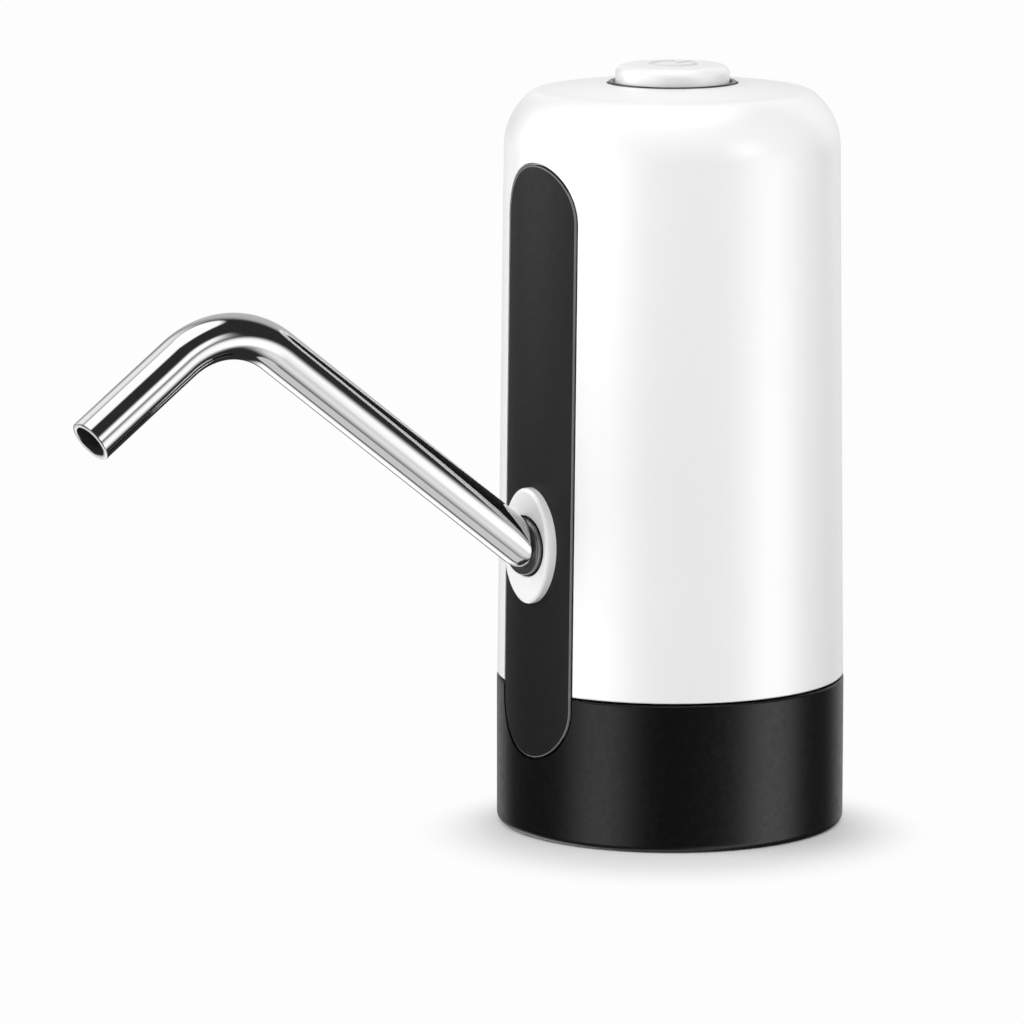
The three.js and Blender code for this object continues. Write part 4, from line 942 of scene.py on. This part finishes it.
def makeBezel():
    v = bezel
    low, top = cad("button_bezel")[0].z, bezelTopZ + v["proud"]
    profile = [
        (v["inner"], low, 0.2),
        (v["flangeOuter"], low, 0.2),
        (v["flangeOuter"], low + v["flangeThickness"], 0.2),
        (v["outer"], low + v["flangeThickness"], 0),
        (v["outer"], top, 0.15),
        (v["inner"] + v["slopeWidth"], top - v["slopeDrop"], 0.1),
        (v["inner"], bezelTopZ - v["slopeFoot"], 0.15),
    ]
    piece = turned("buttonBezel", profile, 192)
    return finished(tidied(piece), "housing", "dark_ring", "button_bezel")


# Neck boot and the fitting for the suction hose, seen from below

boot = {
    "outer": 29.7,
    "inner": 27.5,
    "ribLevels": (-8, -16),
    "ribHalf": 0.8,
    "ribDepth": 0.5,
    "leadIn": 1.2,
    "leadInWidth": 1,
    "fittingHole": 4.2,
}


def makeBoot():
    v = boot
    low, high = cad("neck_boot")[0].z, cad("neck_boot")[1].z
    ribs = []
    for level in v["ribLevels"]:
        ribs += [
            (v["inner"], level + v["ribHalf"], 0.3),
            (v["inner"] - v["ribDepth"], level, 0.25),
            (v["inner"], level - v["ribHalf"], 0.3),
        ]
    profile = [
        (0, 0, 0),
        (v["inner"], 0, 0.6),
        *ribs,
        (v["inner"], low + v["leadIn"], 0.4),
        (v["inner"] + v["leadInWidth"], low, 0.4),
        (v["outer"], low, 0.3),
        (v["outer"], high, 0.3),
        (0, high, 0),
    ]
    piece = turned("neckBoot", profile, 224)
    carve(piece, rod(v["fittingHole"], -3, 5, nipplePlace))
    return finished(tidied(piece, 0.12), "housing", "boot_rubber", "neck_boot")


nipple = {
    "outer": 3.5,
    "hole": 1.5,
    "ridges": 3,
    "ridgeRise": 0.4,
    "ridgeRun": 0.6,  # the share of each step that a ridge takes up
    "seat": 5.8,
    "seatRadius": 6,
    "seatThickness": 1.5,
    "stem": 2.2,
}


def makeNipple():
    v = nipple
    low, high = cad("inlet_nipple")[0].z, cad("inlet_nipple")[1].z
    pitch = -low / (v["ridges"] + 1)
    ridges = []
    for k in range(v["ridges"]):
        crest = low + pitch * (k + v["ridgeRun"])
        ridges += [
            (v["outer"], low + pitch * k, 0.15),
            (v["outer"] + v["ridgeRise"], crest, 0.12),
            (v["outer"], crest, 0.1),
        ]
    profile = [
        (v["hole"], low, 0.15),
        *ridges,
        (v["outer"], v["seat"], 0),
        (v["seatRadius"], v["seat"], 0.2),
        (v["seatRadius"], v["seat"] + v["seatThickness"], 0.2),
        (v["stem"], v["seat"] + v["seatThickness"], 0),
        (v["stem"], high, 0.2),
        (v["hole"], high, 0.15),
    ]
    piece = turned("inletNipple", profile, 96, (nipplePlace[0], nipplePlace[1], 0))
    return finished(tidied(piece), "housing", "grey_plastic", "inlet_nipple")


# Charging socket and lamp at the back

def makeSocket():
    v = socket
    near, far = socketLow.y, socketHigh.y
    half, tall, wall, edge = v["halfWidth"], v["halfHeight"], v["wall"], v["edge"]
    rings = [
        pillRing(half, tall, near),
        pillRing(half, tall, far - edge),
        pillRing(half - edge, tall - edge, far),
        pillRing(half - wall + edge, tall - wall + edge, far),
        pillRing(half - wall, tall - wall, far - edge),
        pillRing(half - wall, tall - wall, near + wall),
    ]
    bm = bmesh.new()
    rows = loft(bm, rings, closed=False)
    bm.faces.new(rows[0])
    bm.faces.new(rows[-1])
    piece = meshPiece("chargeSocket", bm)
    tongue = pillBody("tongue", v["tongueHalf"], v["tongueThickness"] / 2, near + wall / 2,
                      far - v["tongueSink"])
    carve(piece, tongue, operation="UNION")
    return finished(tidied(piece), "housing", "plain_steel", "charge_socket")


lamp = {
    "domeCentre": 2.2,
    "domeReach": 2.27,  # the dome's radius as a multiple of the lamp's
    "domeTurn": 62,
    "rim": 0.02,
}


def makeLamp():
    v = lamp
    length, radius = lampHigh.y - lampLow.y, (lampHigh.x - lampLow.x) / 2
    dome = arcPoints((0, v["domeCentre"]), radius * v["domeReach"], v["domeTurn"], 90, 6)
    shift = dome[-1][1]
    profile = [(0, length, 0), (radius, length, 0.1), (radius, shift - dome[0][1] + v["rim"], 0)]
    profile += [(r, shift - z, 0) for r, z, _ in dome[1:-1]] + [(0, 0, 0)]
    piece = turned("chargeLamp", profile, 48, (lampX, lampHigh.y, lampZ), alongSpout=True)
    return finished(tidied(piece), "housing", "lamp_lens", "charge_lamp")


# Return spring under the button, wound by nodes to fill its own space

spring = {
    "wire": 0.35,
    "turns": 5,
    "stepsPerTurn": 48,
    "sides": 14,
    "travel": 1.5,  # what the button's full press takes off its length
}
springLow, springHigh = cad("button_spring")


def springWinding():
    tree = bpy.data.node_groups.new("springWinding", "GeometryNodeTree")
    tree.interface.new_socket("Geometry", in_out="OUTPUT", socket_type="NodeSocketGeometry")
    for label in ("Turns", "Coil Radius", "Wire Radius", "Foot", "Height"):
        tree.interface.new_socket(label, in_out="INPUT", socket_type="NodeSocketFloat")
    tree.interface.new_socket("Wire Finish", in_out="INPUT", socket_type="NodeSocketMaterial")
    given = addNode(tree, "NodeGroupInput").outputs
    coil = addNode(tree, "GeometryNodeCurveSpiral", {}, {
        "Resolution": spring["stepsPerTurn"],
        "Rotations": given["Turns"],
        "Start Radius": given["Coil Radius"],
        "End Radius": given["Coil Radius"],
        "Height": given["Height"],
    }).outputs[0]
    foot = addNode(tree, "ShaderNodeCombineXYZ", {}, {"Z": given["Foot"]}).outputs[0]
    lifted = addNode(tree, "GeometryNodeTransform", {}, {"Geometry": coil, "Translation": foot}).outputs[0]
    section = addNode(tree, "GeometryNodeCurvePrimitiveCircle", {}, {
        "Resolution": spring["sides"], "Radius": given["Wire Radius"]}).outputs[0]
    wire = addNode(tree, "GeometryNodeCurveToMesh", {}, {
        "Curve": lifted, "Profile Curve": section, "Fill Caps": True}).outputs[0]
    smooth = addNode(tree, "GeometryNodeSetShadeSmooth", {}, {"Geometry": wire}).outputs[0]
    solid = addNode(tree, "GeometryNodeRealizeInstances", {}, {"Geometry": smooth}).outputs[0]
    dressed = addNode(tree, "GeometryNodeSetMaterial", {}, {
        "Geometry": solid, "Material": given["Wire Finish"]}).outputs[0]
    addNode(tree, "NodeGroupOutput", {}, {"Geometry": dressed})
    return tree


def makeSpring():
    v = spring
    slot = slotOf["button_spring"]
    tree = springWinding()
    values = {
        "Turns": float(v["turns"]),
        "Coil Radius": ((springHigh.x - springLow.x) / 2 - v["wire"]) * mm,
        "Wire Radius": v["wire"] * mm,
        "Foot": (springLow.z + v["wire"]) * mm,
        "Height": (springHigh.z - springLow.z - 2 * v["wire"]) * mm,
        "Wire Finish": finishes[slot],
    }
    piece = bpy.data.objects.new("buttonSpring", bpy.data.meshes.new("springStart"))
    bpy.context.scene.collection.objects.link(piece)
    winding = piece.modifiers.new("winding", "NODES")
    winding.node_group = tree
    for item in tree.interface.items_tree:
        if item.in_out == "INPUT":
            winding[item.identifier] = values[item.name]
    wound = bpy.data.meshes.new_from_object(piece.evaluated_get(bpy.context.evaluated_depsgraph_get()))
    piece.modifiers.remove(winding)
    piece.data = wound
    finished(piece, "housing", slot, "button_spring")
    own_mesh(piece)
    return piece


makeBase()
makeShell()
makeStrip()
print("housing built")
makeFlange()
makeBush()
makeSpout()
print("spout built")
makeButton()
makeSpring()
makeBezel()
makeBoot()
makeNipple()
makeSocket()
makeLamp()
print("trim built")

for name, node in nodes.items():
    if not node.hide_render:
        node.data.materials.clear()
        node.data.materials.append(finishes[slotOf[name]])
print("works dressed")


# Studio: pale floor, soft lamps, what the gloss mirrors, and the camera

studio = {
    "distance": 1300,
    "azimuth": 54.23,
    "pitch": 9.693,
    "lens": 244.38,
    "aim": (-2.56, -35.27, 37.22),
    "floorRadius": 6000,
    "heart": (0, 0, 45),
    "fill": 0.79,
    "behind": 0.75,
    "behindSide": (162, 20),
    "behindFrom": 0.7,
    "behindFull": 0.9,
    "poles": ((0.88, 0.93, 1.8), (-0.95, -0.972, 1.0)),  # white overhead, and straight below
    # paper lit below its glow, faded over shadowFrom to shadowTo about a middle shifted toward the camera:
    # painted shade round the foot, over the real shadow
    "paper": "#E0E0E0",
    "paperGlow": 0.985,
    "shadowShift": 14,
    "shadowFrom": 28,
    "shadowTo": 50,
    "dark": 0.04,
}
azimuth, pitch = math.radians(studio["azimuth"]), math.radians(studio["pitch"])
cameraRight = Vector((math.cos(azimuth), math.sin(azimuth), 0))
cameraFront = Vector((math.sin(azimuth), -math.cos(azimuth), 0))
toCamera = cameraFront * math.cos(pitch) + Vector((0, 0, math.sin(pitch)))


def toward(turn, rise):
    # a direction given as degrees to the right of the camera's side, and above the horizon
    a, b = math.radians(turn), math.radians(rise)
    return (cameraFront * math.cos(a) + cameraRight * math.sin(a)) * math.cos(b) + Vector((0, 0, math.sin(b)))


def stageSurface(name, mesh, material):
    surface = bpy.data.objects.new(name, mesh)
    bpy.context.scene.collection.objects.link(surface)
    mesh.materials.append(material)
    return surface


def bareMaterial(name):
    material = bpy.data.materials.new(name)
    material.use_nodes = True
    material.node_tree.nodes.clear()
    return material, material.node_tree


def softStep(tree, value, start, full, low=0.0, high=1.0):
    # eases from low to high as the value goes from start to full
    inputs = {"Value": value, "From Min": start, "From Max": full, "To Min": low, "To Max": high}
    return addNode(tree, "ShaderNodeMapRange", {"interpolation_type": "SMOOTHSTEP"}, inputs).outputs[0]


def larger(tree, first, second):
    return addNode(tree, "ShaderNodeMath", {"operation": "MAXIMUM"}, {0: first, 1: second}).outputs[0]


def paperSweep():
    # white paper: near the foot it is lit dimmer than the background, a painted shade round the object that
    # also keeps its real shadow, and it fades into the white background further out
    material, tree = bareMaterial("whitePaperSweep")
    where = addNode(tree, "ShaderNodeTexCoord").outputs["Object"]
    middle = cameraFront * studio["shadowShift"] * mm + Vector((0, 0, rimZ * mm))
    away = addNode(tree, "ShaderNodeVectorMath", {"operation": "DISTANCE"}, {0: where, 1: middle})
    # this fade from dim lit paper to the white glow paints the shade round the foot
    fade = softStep(tree, away.outputs["Value"], studio["shadowFrom"] * mm, studio["shadowTo"] * mm)
    camera = addNode(tree, "ShaderNodeLightPath").outputs["Is Camera Ray"]
    share = addNode(tree, "ShaderNodeMath", {"operation": "MULTIPLY"}, {0: fade, 1: camera}).outputs[0]
    paper = addNode(tree, "ShaderNodeBsdfDiffuse", {}, {"Color": linear(studio["paper"])}).outputs[0]
    shine = {"Color": (1, 1, 1, 1), "Strength": studio["paperGlow"]}
    glow = addNode(tree, "ShaderNodeEmission", {}, shine).outputs[0]
    mix = addNode(tree, "ShaderNodeMixShader", {}, {0: share, 1: paper, 2: glow})
    addNode(tree, "ShaderNodeOutputMaterial", {}, {"Surface": mix.outputs[0]})
    return material


def paleFloor():
    # it holds the shadow and the painted shade round the foot for the camera, and what lies below it is left
    # to the mirrored cards
    size = studio["floorRadius"] * mm
    mesh = bpy.data.meshes.new("floor")
    corners = [(x * size, y * size, rimZ * mm) for x, y in ((-1, -1), (1, -1), (1, 1), (-1, 1))]
    mesh.from_pydata(corners, [], [(0, 1, 2, 3)])
    floor = stageSurface("floor", mesh, paperSweep())
    floor.visible_glossy = False


def whiteWorld():
    # white for the camera; gloss sees white behind the object, overhead and straight below, and elsewhere
    # the dark of a real studio
    world = bpy.data.worlds.new("studio")
    bpy.context.scene.world = world
    world.use_nodes = True
    tree = world.node_tree
    tree.nodes.clear()
    path = addNode(tree, "ShaderNodeLightPath").outputs
    way = addNode(tree, "ShaderNodeTexCoord").outputs["Generated"]
    ahead = addNode(tree, "ShaderNodeVectorMath", {"operation": "DOT_PRODUCT"},
                    {0: way, 1: toward(*studio["behindSide"])}).outputs["Value"]
    gloss = softStep(tree, ahead, studio["behindFrom"], studio["behindFull"],
                     studio["dark"], studio["behind"])
    level = addNode(tree, "ShaderNodeSeparateXYZ", {}, {0: way}).outputs["Z"]
    for start, full, bright in studio["poles"]:
        gloss = larger(tree, gloss, softStep(tree, level, start, full, high=bright))
    mirrored = larger(tree, path["Is Glossy Ray"], path["Is Transmission Ray"])
    lit = addNode(tree, "ShaderNodeMix", {"data_type": "FLOAT"},
                  {"Factor": mirrored, "A": studio["fill"], "B": gloss}).outputs[0]
    seen = addNode(tree, "ShaderNodeMix", {"data_type": "FLOAT"},
                   {"Factor": path["Is Camera Ray"], "A": lit, "B": 1.0}).outputs[0]
    back = addNode(tree, "ShaderNodeBackground", {}, {"Color": (1, 1, 1, 1), "Strength": seen})
    addNode(tree, "ShaderNodeOutputWorld", {}, {"Surface": back.outputs[0]})


def softLamp(name, turn, rise, distance, size, power):
    light = bpy.data.lights.new(name, "AREA")
    light.shape = "RECTANGLE"
    light.size, light.size_y = size[0] * mm, size[1] * mm
    light.energy = power
    holder = bpy.data.objects.new(name, light)
    holder.location = (Vector(studio["heart"]) + toward(turn, rise) * distance) * mm
    holder.rotation_euler = (-toward(turn, rise)).to_track_quat("-Z", "Y").to_euler()
    holder.visible_glossy = False  # the cards stand in for it in reflections
    bpy.context.scene.collection.objects.link(holder)


def cardGlow():
    # each card's brightness is the second value of its UV map
    material, tree = bareMaterial("studioCard")
    uv = addNode(tree, "ShaderNodeUVMap", {"uv_map": "UVMap"}).outputs[0]
    level = addNode(tree, "ShaderNodeSeparateXYZ", {}, {0: uv}).outputs["Y"]
    glow = addNode(tree, "ShaderNodeEmission", {}, {"Color": (1, 1, 1, 1), "Strength": level}).outputs[0]
    clear = addNode(tree, "ShaderNodeBsdfTransparent").outputs[0]
    both = addNode(tree, "ShaderNodeAddShader", {}, {0: glow, 1: clear})
    addNode(tree, "ShaderNodeOutputMaterial", {}, {"Surface": both.outputs[0]})
    material.cycles.emission_sampling = "NONE"
    return material


cardMaterial = cardGlow()


def mirroredCard(name, rows):
    # rows of (place, brightness) as a sheet that only reflections see
    bm = bmesh.new()
    uv = bm.loops.layers.uv.new("UVMap")
    grid = [[(bm.verts.new(place * mm), level) for place, level in row] for row in rows]
    for first, second in zip(grid, grid[1:]):
        for k in range(len(first) - 1):
            corners = [first[k], first[k + 1], second[k + 1], second[k]]
            face = bm.faces.new([vertex for vertex, _ in corners])
            for loop, (_, level) in zip(face.loops, corners):
                loop[uv].uv = (0, level)
    mesh = bpy.data.meshes.new(name)
    bm.to_mesh(mesh)
    bm.free()
    card = stageSurface(name, mesh, cardMaterial)
    card.visible_camera = False
    card.visible_diffuse = False
    card.visible_shadow = False


def softbox(name, turns, rises, level, softTurn, softRise, reach):
    # a bright patch between two turns and two rises, fading out at its edges
    steps = 24
    shares = [k / steps for k in range(steps + 1)]

    def fade(t, soft):
        edge = min(min(t, 1 - t) / soft, 1)
        return edge ** 2 * (3 - 2 * edge)

    def spot(across, up):
        turn = turns[0] + (turns[1] - turns[0]) * across
        rise = rises[0] + (rises[1] - rises[0]) * up
        place = Vector(studio["heart"]) + toward(turn, rise) * reach
        return place, level * fade(up, softRise) * fade(across, softTurn)

    mirroredCard(name, [[spot(across, up) for across in shares] for up in shares])


paleFloor()
whiteWorld()
softLamp("lampLeft", -82, 10, 900, (700, 1100), 7.5)
softLamp("lampRight", 80, 10, 900, (700, 1100), 2.4)
softLamp("lampTop", 20, 50, 900, (700, 700), 2.2)
softbox("cardLeft", (-78, -18), (-48, 20), 1.25, 0.4, 0.4, 1900)
softbox("cardRight", (41, 98), (-45, 6), 1.75, 0.4, 0.35, 1900)
softbox("cardLow", (5, 85), (-84, -14), 1.3, 0.4, 0.5, 1900)
softbox("cardHigh", (35, 68), (0, 30), 1.8, 0.35, 0.35, 1900)
softbox("cardEdge", (-178, -132), (-30, 8), 0.5, 0.35, 0.35, 1900)
softbox("cardStrip", (-125, -62), (-19, 75), 1.45, 0.42, 0.42, 216)
softbox("cardRim", (-175, -112), (-72, -24), 1.7, 0.3, 0.3, 1500)


view = bpy.data.cameras.new("camera")
view.lens = studio["lens"]
view.clip_end = 20
camera = bpy.data.objects.new("camera", view)
bpy.context.scene.collection.objects.link(camera)
camera.location = (Vector(studio["aim"]) + toCamera * studio["distance"]) * mm
camera.rotation_euler = (-toCamera).to_track_quat("-Z", "Y").to_euler()
bpy.context.scene.camera = camera
bpy.context.scene.view_settings.view_transform = "Standard"
print("studio ready")
